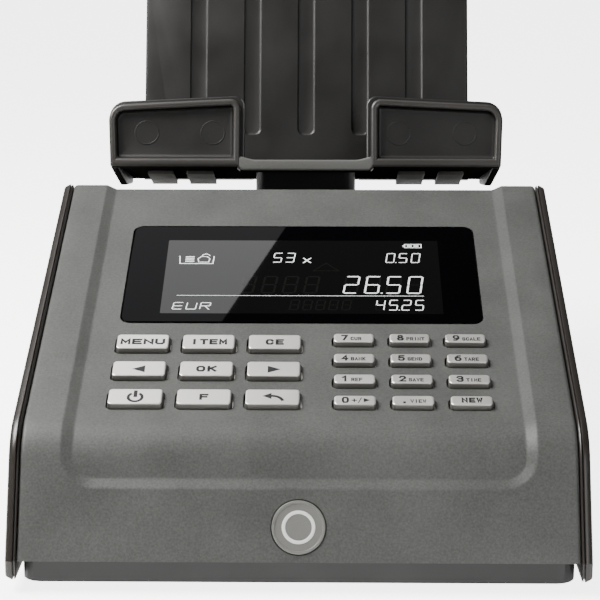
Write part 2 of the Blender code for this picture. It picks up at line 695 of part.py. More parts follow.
def make_note_tray():
    """The tray: a tilted floor, two dished wings at its front, and a plug that fits the stem."""
    rear = -TRAY_FLOOR_DEPTH
    front = WING_STAND_OFF + WING_PLATE + WING_RIM_DEPTH
    half = TRAY_WIDTH / 2 - TRAY_STEP
    floor_front = front - TRAY_STEP
    tray = box("note_tray", (-half, -TRAY_FLOOR_THICKNESS, rear), (half, 0, floor_front), TRAY)
    rim_start = WING_STAND_OFF + WING_PLATE
    for name, side in (("left", -1), ("right", 1)):
        plate = wing_corners(side, WING_BORDER)
        fuse(tray, prism(f"wing_plate_{name}", plate, WING_STAND_OFF, WING_PLATE, TRAY, CUTTERS))
        overlap = WING_PLATE / 2
        rim_depth = WING_RIM_DEPTH + overlap
        rim = wing_corners(side, 0)
        fuse(tray, prism(f"wing_rim_{name}", rim, rim_start - overlap, rim_depth, TRAY, CUTTERS))
        dish = dish_corners(side)
        cut(tray, prism(f"wing_dish_{name}", dish, rim_start, 2 * WING_RIM_DEPTH, TRAY, CUTTERS))
        skirt_end = rear * SKIRT_SHARE
        skirt = outline([
            (floor_front - TRAY_STEP, -TRAY_FLOOR_THICKNESS / 2, 0),
            (floor_front - TRAY_STEP, -TRAY_FLOOR_THICKNESS - SKIRT_DROP / 3, SKIRT_DROP / 4),
            (skirt_end / 2, -TRAY_FLOOR_THICKNESS - SKIRT_DROP, SKIRT_DROP / 2),
            (skirt_end, -TRAY_FLOOR_THICKNESS - SKIRT_DROP / 2, SKIRT_DROP / 4),
            (skirt_end, -TRAY_FLOOR_THICKNESS / 2, 0),
        ])
        skirt_frame = TRAY @ Matrix.Rotation(-math.pi / 2, 4, "Y")
        skirt_outer = half - TRAY_STEP
        low = skirt_outer - SKIRT_THICKNESS if side < 0 else -skirt_outer
        fuse(tray, prism(f"skirt_{name}", skirt, low, SKIRT_THICKNESS, skirt_frame, CUTTERS))
    rail_half = WING_INNER + WING_RIM_WIDTH / 2
    rail_low = (-rail_half, RAIL_TOP - RAIL_HEIGHT, WING_STAND_OFF + WING_PLATE / 4)
    rail_high = (rail_half, RAIL_TOP, floor_front + TRAY_STEP / 2)
    fuse(tray, box("front_rail", rail_low, rail_high, TRAY, CUTTERS))
    fuse(tray, make_plug())
    return tray


def make_plug():
    """The plug under the tray's floor, cut to the floor's tilt."""
    less = 2 * (STEM_WALL + PLUG_CLEARANCE)
    plan = rectangle(STEM_WIDTH - less, STEM_DEPTH - less, STEM_CORNER - STEM_WALL, (0, STEM_Y))
    bottom = stem_top_low() - PLUG_DEPTH
    plug = prism("tray_plug", plan, bottom, TRAY_Z - bottom, PLAN, CUTTERS)
    cut(plug, above_tray("plug_trim", -TRAY_FLOOR_THICKNESS / 2))
    return plug


def above_tray(name, height):
    """A cutter that removes all that is above a height in the tray's frame."""
    reach = TRAY_WIDTH / 2
    return box(name, (-reach, height, -reach), (reach, height + 2 * reach, reach), TRAY, CUTTERS)


def stem_top_low():
    """The height of the stem's lower, rear edge under the tilted floor."""
    behind = STEM_BEHIND_TRAY + STEM_DEPTH / 2
    under = (TRAY_FLOOR_THICKNESS + GAP) / math.cos(TRAY_LEAN)
    return TRAY_Z - behind * math.tan(TRAY_LEAN) - under


def make_platform_carrier():
    """The hollow stem that stands on the load cell and takes the tray's plug."""
    plan = rectangle(STEM_WIDTH, STEM_DEPTH, STEM_CORNER, (0, STEM_Y))
    stem = prism("platform_carrier", plan, STEM_BOTTOM, TRAY_Z - STEM_BOTTOM, PLAN)
    cut(stem, above_tray("stem_trim", -TRAY_FLOOR_THICKNESS - GAP))
    inner_size = (STEM_WIDTH - 2 * STEM_WALL, STEM_DEPTH - 2 * STEM_WALL)
    hollow = rectangle(*inner_size, STEM_CORNER - STEM_WALL, (0, STEM_Y))
    cut(stem, prism("stem_hollow", hollow, STEM_HOLLOW, TRAY_Z, PLAN, CUTTERS))
    for index, y in enumerate(cell_holes()[:2]):
        hole = rod(f"stem_hole_{index}", CELL_SCREW + GAP, 0, TRAY_Z, at(0, y), CUTTERS, 12)
        cut(stem, hole)
    return stem


def make_back_rest():
    """The plate that the notes lean on, with four tongues that reach forward under the tray."""
    low = -TRAY_FLOOR_THICKNESS - GAP - TONGUE_THICKNESS
    face = -TRAY_BACK
    half = REST_WIDTH / 2
    plate = outline([
        (-half, low, 0),
        (half, low, 0),
        (half, REST_LENGTH, REST_CORNER),
        (-half, REST_LENGTH, REST_CORNER),
    ])
    rest = prism("back_rest", plate, face - REST_THICKNESS, REST_THICKNESS, TRAY)
    notch_half = STEM_WIDTH / 2 + STEM_HOLE_CLEARANCE
    notch_low = (-notch_half, 2 * low, 2 * face)
    notch_high = (notch_half, -TRAY_FLOOR_THICKNESS + GAP, 0)
    cut(rest, box("stem_notch", notch_low, notch_high, TRAY, CUTTERS))
    for inner, outer in TONGUES:
        for name, a, b in (("left", -outer, -inner), ("right", inner, outer)):
            corner = (a, low, face - REST_THICKNESS / 2)
            end = (b, low + TONGUE_THICKNESS, face + TONGUE_LENGTH)
            fuse(rest, box(f"tongue_{name}_{inner / MM:.0f}", corner, end, TRAY, CUTTERS))
    pitch = REST_WIDTH / (GROOVES + 1)
    groove_size = (pitch / 3, REST_LENGTH * GROOVE_SHARE)
    groove_y = (low + REST_LENGTH) / 2 + REST_LENGTH * GROOVE_LIFT
    for index in range(GROOVES):
        x = (index - (GROOVES - 1) / 2) * pitch
        groove = rectangle(*groove_size, pitch / 8, (x, groove_y))
        cut(rest, prism(f"rest_groove_{index}", groove, face - GROOVE_DEPTH, REST_THICKNESS, TRAY, CUTTERS))
    return rest


def cell_holes():
    """The load cell's screw places along Y, from the rear: two free ones, then two fixed ones."""
    free = (STEM_Y + CELL_HOLE_PITCH / 2, STEM_Y - CELL_HOLE_PITCH / 2)
    fixed = (CELL_FRONT + CELL_HOLE_MARGIN + CELL_HOLE_PITCH, CELL_FRONT + CELL_HOLE_MARGIN)
    return (*free, *fixed)


def make_load_cell():
    """The aluminium bar that bends under the tray, with its twin bore and screw holes."""
    half = CELL_SIDE / 2
    cell = box("load_cell", (-half, CELL_FRONT, CELL_UNDERSIDE), (half, CELL_REAR, CELL_TOP))
    middle_y = (CELL_FRONT + CELL_REAR) / 2
    middle_z = (CELL_UNDERSIDE + CELL_TOP) / 2
    across = Matrix.Rotation(math.pi / 2, 4, "Y")
    for name, offset in (("front", -CELL_BORE_PITCH / 2), ("rear", CELL_BORE_PITCH / 2)):
        frame = at(0, middle_y + offset, middle_z) @ across
        cut(cell, rod(f"cell_bore_{name}", CELL_BORE_RADIUS, -CELL_SIDE, CELL_SIDE, frame, CUTTERS))
    slot = CELL_BORE_RADIUS / 3
    low = (-CELL_SIDE, middle_y - CELL_BORE_PITCH / 2, middle_z - slot)
    high = (CELL_SIDE, middle_y + CELL_BORE_PITCH / 2, middle_z + slot)
    cut(cell, box("cell_slot", low, high, PLAN, CUTTERS))
    for index, y in enumerate(cell_holes()):
        cut(cell, rod(f"cell_hole_{index}", CELL_SCREW + GAP, 0, 2 * CELL_TOP, at(0, y), CUTTERS, 12))
    return cell


def make_load_cell_mount():
    """The block that holds the load cell's front end above the base."""
    rear = cell_holes()[2] + CELL_HOLE_MARGIN
    half = MOUNT_WIDTH / 2
    high = (half, rear, CELL_UNDERSIDE - GAP)
    mount = box("load_cell_mount", (-half, CELL_FRONT, BASE_TOP + GAP), high)
    for index, y in enumerate(cell_holes()[2:]):
        low = CELL_TOP + GAP - CELL_SCREW_LENGTH - GAP
        hole = rod(f"mount_hole_{index}", CELL_SCREW + GAP, low, 2 * CELL_TOP, at(0, y), CUTTERS, 12)
        cut(mount, hole)
    return mount


def socket_screw(name, shank_radius, head, length, frame, steps=12):
    """A screw that points down the frame's -Z, with its head resting at z = 0."""
    head_radius, head_height = head
    profile = [(head_radius, head_height), (head_radius, 0), (shank_radius, 0), (shank_radius, -length)]
    return turned(name, profile, frame, steps=steps)


def make_cell_screws():
    """The screws of the load cell: two hold the stem, and two hold the cell to its mount."""
    names = ("stem_screw_rear", "stem_screw_front", "cell_screw_rear", "cell_screw_front")
    seats = (STEM_HOLLOW, STEM_HOLLOW, CELL_TOP, CELL_TOP)
    for name, seat, y in zip(names, seats, cell_holes()):
        frame = at(0, y, seat + GAP)
        yield socket_screw(name, CELL_SCREW, CELL_SCREW_HEAD, CELL_SCREW_LENGTH, frame)


def make_overload_stop():
    """The post that the load cell's free end meets when the tray is overloaded."""
    y = (CELL_FRONT + CELL_REAR) / 2
    top = CELL_UNDERSIDE - STOP_GAP
    return rod("overload_stop", STOP_RADIUS, BASE_TOP + GAP, top, at(0, y), steps=12)


def make_battery():
    """The battery pack, three cells side by side, and the door that slides out under it."""
    pitch = 2 * CELL_BATTERY_RADIUS - 2 * GAP
    height = BASE_TOP + DOOR_FLANGE_THICKNESS + 3 * GAP + CELL_BATTERY_RADIUS
    rear = REAR_Y - 2 * WALL - BATTERY_REAR_GAP - CELL_BATTERY_RADIUS
    across = Matrix.Rotation(math.pi / 2, 4, "Y")
    cells = []
    for index in range(BATTERY_COUNT):
        name = f"battery_{index}" if index else "battery_pack"
        frame = at(0, rear - index * pitch, height) @ across
        half = BATTERY_LENGTH / 2
        cells.append(rod(name, CELL_BATTERY_RADIUS, -half, half, frame, CUTTERS if index else PARTS))
    pack = cells[0]
    for cell in cells[1:]:
        fuse(pack, cell)
    half = DOOR_WIDTH / 2
    door_front = REAR_Y - BASE_INSET - DOOR_DEPTH
    door = box("battery_door", (-half, door_front, BASE_BOTTOM), (half, REAR_Y - BASE_INSET, BASE_TOP))
    low = (-half - DOOR_FLANGE, door_front + DOOR_FLANGE, BASE_TOP + GAP)
    high = (half + DOOR_FLANGE, REAR_Y - BASE_INSET, low[2] + DOOR_FLANGE_THICKNESS)
    fuse(door, box("door_flange", low, high, PLAN, CUTTERS))
    web = 2 * DOOR_FLANGE
    web_low = (-half + web, door_front + web, BASE_TOP - GAP)
    web_high = (half - web, REAR_Y - BASE_INSET - web, low[2] + GAP)
    fuse(door, box("door_web", web_low, web_high, PLAN, CUTTERS))
    return pack, door


def make_main_board():
    """The main circuit board and the buzzer on it."""
    x, y = board_places()
    size = rectangle(*MAIN_BOARD, 0, (x, y))
    board = prism("main_board", size, MAIN_BOARD_HEIGHT, BOARD_THICKNESS, PLAN)
    seat = MAIN_BOARD_HEIGHT + BOARD_THICKNESS + GAP
    buzzer_frame = at(MAIN_BOARD[0] / 4, y, seat)
    buzzer = rod("buzzer", BUZZER_RADIUS, 0, BUZZER_HEIGHT, buzzer_frame)
    port_low, port_high = BUZZER_HEIGHT / 2, 2 * BUZZER_HEIGHT
    cut(buzzer, rod("buzzer_port", BUZZER_RADIUS / 5, port_low, port_high, buzzer_frame, CUTTERS, 10))
    return board, buzzer


def rear_inside():
    """The rear wall's inner face at the sockets' height."""
    rise = (SOCKET_HEIGHT - COVER_BOTTOM) / (DECK.y - DECK_FALL - COVER_BOTTOM)
    return REAR_Y - REAR_LEAN * rise - WALL


def make_sockets():
    """The supply jack and the data port behind the rear wall."""
    width, depth, height = JACK_SIZE
    rear = rear_inside() - 2 * GAP
    low = (JACK_X - width / 2, rear - depth, SOCKET_HEIGHT - height / 2)
    jack = box("dc_jack", low, (JACK_X + width / 2, rear, SOCKET_HEIGHT + height / 2))
    frame = at(JACK_X, rear, SOCKET_HEIGHT) @ Matrix.Rotation(math.pi / 2, 4, "X")
    cut(jack, rod("jack_bore", JACK_BORE_RADIUS, -depth, JACK_BORE_DEPTH, frame, CUTTERS, 16))
    root = JACK_BORE_DEPTH + CONTACT_ROOT
    fuse(jack, rod("jack_pin", JACK_PIN_RADIUS, GAP, root, frame, CUTTERS, 8))
    width, depth, height = USB_SIZE
    low = (USB_X - width / 2, rear - depth, SOCKET_HEIGHT - height / 2)
    port = box("usb_port", low, (USB_X + width / 2, rear, SOCKET_HEIGHT + height / 2))
    mouth_x, mouth_z = (side / 2 for side in USB_MOUTH)
    low = (USB_X - mouth_x, rear - USB_MOUTH_DEPTH, SOCKET_HEIGHT - mouth_z)
    high = (USB_X + mouth_x, 2 * rear, SOCKET_HEIGHT + mouth_z)
    cut(port, box("usb_mouth", low, high, PLAN, CUTTERS))
    tongue_x, tongue_z = (side / 2 for side in USB_TONGUE)
    low = (USB_X - tongue_x, rear - USB_MOUTH_DEPTH - CONTACT_ROOT, SOCKET_HEIGHT - tongue_z)
    high = (USB_X + tongue_x, rear - GAP, SOCKET_HEIGHT + tongue_z)
    fuse(port, box("usb_tongue", low, high, PLAN, CUTTERS))
    return jack, port


def make_feet():
    """Four rubber feet, sunk into the base."""
    for name, x, y in corner_places(*FOOT_INSET):
        top = BASE_BOTTOM + FOOT_SINK - GAP
        profile = [(FOOT_RADIUS, top), (FOOT_RADIUS, GAP), (FOOT_RADIUS - GAP, 0)]
        yield turned(f"foot_{name}", profile, at(x, y))


def make_cover_screws():
    """The screws that pull the cover down on the base, with their heads sunk from below."""
    head_top = BASE_TOP + SCREW_HEAD[1] / 2
    shank = SCREW_LENGTH - SCREW_HEAD[1]
    for name, x, y in boss_places():
        upside_down = at(x, y, head_top) @ Matrix.Rotation(math.pi, 4, "X")
        yield socket_screw(f"screw_{name}", SCREW_RADIUS, SCREW_HEAD, shank, upside_down)


def collect_cutters():
    """Move every Boolean operand to the cutters' collection."""
    for made in list(PARTS.objects):
        if made.hide_render:
            PARTS.objects.unlink(made)
            CUTTERS.objects.link(made)


def main():
    grey = make_material("grey_plastic", (0.25, 0.25, 0.235), 0.45)
    cheek_black = make_material("cheek_black", (0.02, 0.019, 0.018), 0.35)
    base_black = make_material("base_black", (0.018, 0.018, 0.018), 0.5)
    gloss_black = make_material("gloss_black", (0.008, 0.008, 0.009), 0.12)
    tray_black = make_material("tray_black", (0.024, 0.022, 0.02), 0.38)
    key_silver = make_material("key_silver", (0.62, 0.61, 0.58), 0.35)
    window_black = make_material("window_black", (0.004, 0.004, 0.005), 0.08)
    rubber = make_material("rubber", (0.03, 0.03, 0.03), 0.8)
    silicone = make_material("silicone", (0.35, 0.36, 0.36), 0.6)
    board_green = make_material("board_green", (0.02, 0.12, 0.05), 0.45)
    aluminium = make_material("aluminium", (0.6, 0.61, 0.62), 0.35, 1.0)
    steel = make_material("steel", (0.45, 0.45, 0.45), 0.3, 1.0)
    blue_wrap = make_material("blue_wrap", (0.03, 0.1, 0.3), 0.4)
    display_grey = make_material("display_grey", (0.1, 0.1, 0.11), 0.4)
    badge_grey = make_material("badge_grey", (0.14, 0.14, 0.14), 0.35)

    paint(grey, make_top_cover())
    paint(cheek_black, make_cheek("left_cheek", -1), make_cheek("right_cheek", 1))
    paint(base_black, make_base_shell())
    window, module = make_display()
    paint(window_black, window)
    paint(display_grey, module)
    paint(key_silver, *(make_key(*key) for key in all_keys()))
    mat, keypad_board = make_keypad()
    paint(silicone, mat)
    main_board, buzzer = make_main_board()
    paint(board_green, keypad_board, main_board)
    paint(badge_grey, make_badge())
    paint(tray_black, make_note_tray(), make_back_rest())
    paint(gloss_black, make_platform_carrier(), buzzer)
    paint(aluminium, make_load_cell(), make_load_cell_mount())
    paint(steel, *make_cell_screws(), *make_cover_screws(), make_overload_stop())
    pack, door = make_battery()
    paint(blue_wrap, pack)
    paint(base_black, door)
    paint(base_black, *make_sockets())
    paint(rubber, *make_feet())
    collect_cutters()


main()
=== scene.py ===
"""A counting scale for banknotes and coins: its looks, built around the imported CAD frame.

Lengths are in millimetres here, and add_mesh() turns them into metres. The front faces -Y.
"""

import math

import bmesh
import bpy
from mathutils import Matrix, Vector


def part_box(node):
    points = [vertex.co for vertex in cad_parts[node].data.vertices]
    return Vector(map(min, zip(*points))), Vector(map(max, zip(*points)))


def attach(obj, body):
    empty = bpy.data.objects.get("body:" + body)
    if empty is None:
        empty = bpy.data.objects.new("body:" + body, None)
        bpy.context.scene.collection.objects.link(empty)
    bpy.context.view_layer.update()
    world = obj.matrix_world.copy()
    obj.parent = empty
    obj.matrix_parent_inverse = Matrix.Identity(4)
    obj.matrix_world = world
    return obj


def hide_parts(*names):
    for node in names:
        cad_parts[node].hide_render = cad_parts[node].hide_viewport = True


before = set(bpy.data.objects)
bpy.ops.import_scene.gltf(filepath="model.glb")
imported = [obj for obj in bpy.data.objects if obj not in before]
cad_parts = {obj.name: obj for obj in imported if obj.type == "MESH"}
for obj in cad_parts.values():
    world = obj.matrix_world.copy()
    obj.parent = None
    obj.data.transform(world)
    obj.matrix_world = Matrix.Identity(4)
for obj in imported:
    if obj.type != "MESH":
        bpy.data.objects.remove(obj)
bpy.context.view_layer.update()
MM = 0.001


def node_box(name):
    """A CAD node's lowest and highest corners, in millimetres."""
    low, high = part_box(name)
    return low / MM, high / MM


# The console, seen from the side: the same sizes as the CAD model's
(_, FRONT_Y, COVER_BOTTOM), (COVER_HALF, REAR_Y, _) = node_box("top_cover")
FRONT_SLOPE = math.radians(64.3)
FRONT_LENGTH = 33
PANEL_SLOPE = math.radians(20.1)
PANEL_LENGTH = 127.3
RIDGE_DROP = Vector((5, -23.2))
DECK_FALL = 4
REAR_LEAN = 3
KINK_RADIUS, RIDGE_RADIUS, DROP_RADIUS, REAR_RADIUS = 17, 2, 4, 9
WALL = 2.2
RECESS_DEPTH = 1.3
SKIN = WALL + RECESS_DEPTH
ALONG_FRONT = Vector((math.cos(FRONT_SLOPE), math.sin(FRONT_SLOPE)))
ALONG_PANEL = Vector((math.cos(PANEL_SLOPE), math.sin(PANEL_SLOPE)))
KINK = Vector((FRONT_Y, COVER_BOTTOM)) + FRONT_LENGTH * ALONG_FRONT
RIDGE = KINK + PANEL_LENGTH * ALONG_PANEL
DECK = RIDGE + RIDGE_DROP
REAR_TOP = Vector((REAR_Y - REAR_LEAN, DECK.y - DECK_FALL))

# The tray and its stem
TRAY_LEAN = math.radians(20)
TRAY_BEHIND_RIDGE = 42.1
TRAY_BELOW_RIDGE = 1.2
TRAY_Y = RIDGE.x + TRAY_BEHIND_RIDGE
TRAY_Z = RIDGE.y - TRAY_BELOW_RIDGE
STEM_LOW, STEM_HIGH = node_box("platform_carrier")
STEM_Y = (STEM_LOW.y + STEM_HIGH.y) / 2

# Frames: an outline lies in a frame's XY plane and is raised along its Z
shift = Matrix.Translation
PLAN = Matrix.Identity(4)
SIDE = Matrix(((0, 0, 1, 0), (1, 0, 0, 0), (0, 1, 0, 0), (0, 0, 0, 1)))
PANEL = shift((0, KINK.x, KINK.y)) @ Matrix.Rotation(PANEL_SLOPE, 4, "X")
FRONT = shift((0, KINK.x, KINK.y)) @ Matrix.Rotation(FRONT_SLOPE, 4, "X")
TRAY = shift((0, TRAY_Y, TRAY_Z)) @ Matrix.Rotation(math.pi / 2 - TRAY_LEAN, 4, "X")
TRAY_FLOOR = TRAY @ Matrix.Rotation(-math.pi / 2, 4, "X")
UPRIGHT = Matrix.Rotation(-math.pi / 2, 4, "Y")
SIDES = (("right", PLAN), ("left", Matrix.Diagonal((-1, 1, 1, 1))))


# --- camera and light

CAMERA_PLACE = (6.33, -467.1, 152.1)  # from the middle of the panel's lower edge
CAMERA_PITCH = math.radians(76)
CAMERA_YAW = math.radians(0.746)
FOCAL_LENGTH = 114
SENSOR_WIDTH = 36


def new_object(name, data):
    made = bpy.data.objects.new(name, data)
    bpy.context.scene.collection.objects.link(made)
    return made


def make_camera():
    data = bpy.data.cameras.new("camera")
    data.lens = FOCAL_LENGTH
    data.sensor_width = SENSOR_WIDTH
    data.clip_start = 0.02
    data.clip_end = 30
    camera = new_object("camera", data)
    camera.location = (Vector((0, KINK.x, KINK.y)) + Vector(CAMERA_PLACE)) * MM
    camera.rotation_euler = (CAMERA_PITCH, 0, CAMERA_YAW)
    bpy.context.scene.camera = camera
    return camera


CAMERA = make_camera()
LIGHT_TARGET = Vector((0, -20, 40))


def area_light(name, place, size, power, colour=(1, 1, 1)):
    """A rectangular light at a place, in millimetres, that faces the middle of the object."""
    data = bpy.data.lights.new(name, "AREA")
    data.shape = "RECTANGLE"
    data.size, data.size_y = size[0] * MM, size[1] * MM
    data.energy = power
    data.color = colour
    light = new_object(name, data)
    light.location = Vector(place) * MM
    light.rotation_euler = (LIGHT_TARGET - Vector(place)).to_track_quat("-Z", "Y").to_euler()


# --- outlines and solids


def left_of(along):
    return Vector((-along.y, along.x))


LARGEST_ROUNDING = 0.495  # the share of an edge that one rounded corner may use up
LEAST_RADIUS = 0.01  # a sharp corner keeps its points apart by this
CREASE = 35  # degrees: sharper edges stay crisp under smooth shading


def arc_corner(before, corner, after, radius, steps):
    """The points of a corner that is rounded to a radius, between its two neighbours."""
    to_before = (before - corner).normalized()
    to_after = (after - corner).normalized()
    half = to_before.angle(to_after) / 2
    room = min((before - corner).length, (after - corner).length) * LARGEST_ROUNDING
    reach = min(radius / math.tan(half), room)
    centre = corner + (to_before + to_after).normalized() * reach / math.cos(half)
    start = corner + to_before * reach - centre
    end = corner + to_after * reach - centre
    sweep = start.angle_signed(end)
    points = []
    for step in range(steps + 1):
        point = start.copy()
        point.rotate(Matrix.Rotation(-sweep * step / steps, 2))
        points.append(centre + point)
    return points


def outline(corners, steps=8):
    """The points of a closed outline from its (x, y, radius) corners."""
    points = []
    for index, (x, y, radius) in enumerate(corners):
        before = Vector(corners[index - 1][:2])
        after = Vector(corners[(index + 1) % len(corners)][:2])
        points += arc_corner(before, Vector((x, y)), after, max(radius, LEAST_RADIUS), steps)
    return points


def rectangle(width, height, radius=0.0, centre=(0, 0)):
    """The corners of a rectangle."""
    x, y = centre
    ends = ((1, -1), (1, 1), (-1, 1), (-1, -1))
    return [(x + a * width / 2, y + b * height / 2, radius) for a, b in ends]


def inset(corners, distances):
    """Corners whose edges are moved inwards. Edge i runs from corner i to the next one."""
    lines = []
    for index, (x, y, _) in enumerate(corners):
        end = corners[(index + 1) % len(corners)]
        along = (Vector(end[:2]) - Vector((x, y))).normalized()
        lines.append((Vector((x, y)) + left_of(along) * distances[index], along))
    moved = []
    for index, (_, _, radius) in enumerate(corners):
        (p, a), (q, b) = lines[index - 1], lines[index]
        turn = a.x * b.y - a.y * b.x
        point = p + a * (((q - p).x * b.y - (q - p).y * b.x) / turn)
        distance = max(distances[index - 1], distances[index], key=abs)
        moved.append((point.x, point.y, max(radius - math.copysign(1, turn) * distance, 0)))
    return moved


def add_mesh(name, points, faces, place=PLAN, smooth=CREASE):
    """An object of this mesh, with its points moved by a frame and then given in metres."""
    data = bpy.data.meshes.new(name)
    data.from_pydata([(place @ Vector(p)) * MM for p in points], [], faces)
    shape = bmesh.new()
    shape.from_mesh(data)
    bmesh.ops.recalc_face_normals(shape, faces=shape.faces)
    shape.to_mesh(data)
    shape.free()
    return crisp(new_object(name, data), smooth)


def crisp(made, smooth=CREASE):
    """Smooth shading, with the edges sharper than the angle kept crisp."""
    made.data.shade_smooth()
    made.data.set_sharp_from_angle(angle=math.radians(smooth))
    return made


def band(low, high, count):
    """The faces between two rings of points that start at these indices."""
    after = [(i + 1) % count for i in range(count)]
    return [[low + i, low + j, high + j, high + i] for i, j in enumerate(after)]


def layered(corners, rings, weights=None, steps=8):
    """(points, faces) of a solid from one outline, drawn at each (height, inset) ring.

    Weights, one for each edge of the outline, multiply the inset.
    """
    weights = weights or [1] * len(corners)
    loops = [outline(inset(corners, [gap * w for w in weights]), steps) for _, gap in rings]
    points = [(p.x, p.y, height) for (height, _), loop in zip(rings, loops) for p in loop]
    count = len(loops[0])
    faces = [list(range(count))[::-1], [len(points) - count + i for i in range(count)]]
    for ring in range(len(rings) - 1):
        faces += band(ring * count, (ring + 1) * count, count)
    return points, faces


def rounded(low, high, bottom=0.3, top=0.3, gap=0.0, steps=3):
    """The rings of a straight-sided solid with rounded rims."""
    turns = [math.pi / 2 * step / steps for step in range(steps + 1)]
    rings = [(low + bottom * (1 - math.cos(a)), gap + bottom * (1 - math.sin(a))) for a in turns]
    return rings + [(high - top * (1 - math.sin(a)), gap + top * (1 - math.cos(a))) for a in turns]


def solid(name, corners, rings, place=PLAN, weights=None, steps=8, smooth=CREASE):
    """An object whose outline is drawn at each ring."""
    return add_mesh(name, *layered(corners, rings, weights, steps), place, smooth)


def block(name, low, high, place=PLAN):
    """A box between two corners of a frame: a cutter."""
    middle = [(a + b) / 2 for a, b in zip(low, high)]
    corners = rectangle(high[0] - low[0], high[1] - low[1], 0, middle[:2])
    return solid(name, corners, [(low[2], 0), (high[2], 0)], place, steps=1)


def lathe(name, profile, place=PLAN, steps=48):
    """A turned solid about a frame's Z, from (radius, z) points with the ends on the axis."""
    points = [(0, 0, profile[0][1])]
    for radius, z in profile[1:-1]:
        for step in range(steps):
            a = 2 * math.pi * step / steps
            points.append((radius * math.cos(a), radius * math.sin(a), z))
    points.append((0, 0, profile[-1][1]))
    faces = []
    rings = len(profile) - 2
    for step in range(steps):
        after = (step + 1) % steps
        faces.append([0, 1 + after, 1 + step])
        for ring in range(rings - 1):
            a, b = 1 + ring * steps, 1 + (ring + 1) * steps
            faces.append([a + step, a + after, b + after, b + step])
        last = 1 + (rings - 1) * steps
        faces.append([last + step, last + after, len(points) - 1])
    return add_mesh(name, points, faces, place)


def join(name, *objects):
    """One object of several, each with its own materials kept."""
    target = objects[0]
    with bpy.context.temp_override(active_object=target, selected_editable_objects=list(objects)):
        bpy.ops.object.join()
    target.name = name
    target.data.name = name
    return target


def carve(target, *others, operation="DIFFERENCE"):
    """Cut or fuse the other solids, and make the result the target's own mesh."""
    for other in others:
        modifier = target.modifiers.new(other.name, "BOOLEAN")
        modifier.operation = operation
        modifier.solver = "EXACT"
        modifier.object = other
    bpy.context.view_layer.update()
    graph = bpy.context.evaluated_depsgraph_get()
    made = bpy.data.meshes.new_from_object(target.evaluated_get(graph))
    target.modifiers.clear()
    old, target.data = target.data, made
    bpy.data.meshes.remove(old)
    made.name = target.name
    for other in others:
        bpy.data.objects.remove(other)
    return crisp(target)


# --- materials


def linear(colour):
    """A colour given as a display hex string, in linear light."""
    shares = [int(colour[i:i + 2], 16) / 255 for i in (0, 2, 4)]
    return tuple(c / 12.92 if c <= 0.04045 else ((c + 0.055) / 1.055) ** 2.4 for c in shares)


def fill(made, values):
    """Give these inputs of a shader node these values."""
    for name, value in values.items():
        made.inputs[name].default_value = value


def node(tree, kind, values=None, links=None):
    """A shader node with these input values, and these inputs linked to their sources."""
    made = tree.nodes.new("ShaderNode" + kind)
    fill(made, values or {})
    for name, source in (links or {}).items():
        tree.links.new(source, made.inputs[name])
    return made


def noise(tree, scale, detail, stretch=None):
    """A noise texture over the object's own coordinates, in features per metre."""
    place = node(tree, "TexCoord").outputs["Object"]
    if stretch:
        place = node(tree, "Mapping", {"Scale": stretch}, {"Vector": place}).outputs["Vector"]
    values = {"Scale": scale, "Detail": detail}
    return node(tree, "TexNoise", values, {"Vector": place}).outputs["Fac"]


NOISE_LOW, NOISE_HIGH = 0.3, 0.7  # the range that most of a noise texture lies in


def ramp(tree, source, low, high, start=NOISE_LOW, end=NOISE_HIGH):
    """A source turned into a colour between two."""
    made = node(tree, "ValToRGB", links={"Fac": source})
    for stop, position, colour in zip(made.color_ramp.elements, (start, end), (low, high)):
        stop.position = position
        stop.color = (*colour, 1)
    return made.outputs["Color"]


def spread(tree, source, low, high):
    """A noise turned into a number between two."""
    values = {"From Min": NOISE_LOW, "From Max": NOISE_HIGH, "To Min": low, "To Max": high}
    return node(tree, "MapRange", values, {"Value": source}).outputs["Result"]


BROAD_SHARE = 0.4  # how much of the colour's variation is broad patches, and not fine grain
GLOSS_VARIATION = 0.12
BUMP_STRENGTH = 0.5
COAT_ROUGHNESS = 0.05


def material(
    name, colour, roughness, vary, grain, depth,
    patches=55, metallic=0.0, coat=0.0, specular=0.5, stretch=None,
):
    """A moulded or machined surface: two scales of colour, a fine grain and uneven gloss."""
    made = bpy.data.materials.new(name)
    made.use_nodes = True
    tree = made.node_tree
    shader = tree.nodes["Principled BSDF"]
    base = linear(colour)
    fine = noise(tree, grain, 2, stretch)
    broad = noise(tree, patches, 4)
    mixed = node(tree, "Mix", {"Factor": BROAD_SHARE}, {"A": fine, "B": broad})
    low = [c * (1 - vary) for c in base]
    high = [min(c * (1 + vary), 1) for c in base]
    least = roughness * (1 - GLOSS_VARIATION)
    most = min(roughness * (1 + GLOSS_VARIATION), 1)
    bump_values = {"Strength": BUMP_STRENGTH, "Distance": depth * MM}
    bump = node(tree, "Bump", bump_values, {"Height": fine})
    for socket, source in (
        ("Base Color", ramp(tree, mixed.outputs["Result"], low, high)),
        ("Roughness", spread(tree, broad, least, most)),
        ("Normal", bump.outputs["Normal"]),
    ):
        tree.links.new(source, shader.inputs[socket])
    fill(shader, {"Metallic": metallic, "Specular IOR Level": specular})
    if coat:
        fill(shader, {"Coat Weight": coat, "Coat Roughness": COAT_ROUGHNESS})
    return made


def glow(made, colour, strength):
    """Give a material an even light of its own."""
    shader = made.node_tree.nodes["Principled BSDF"]
    fill(shader, {"Emission Color": (*linear(colour), 1), "Emission Strength": strength})
    return made


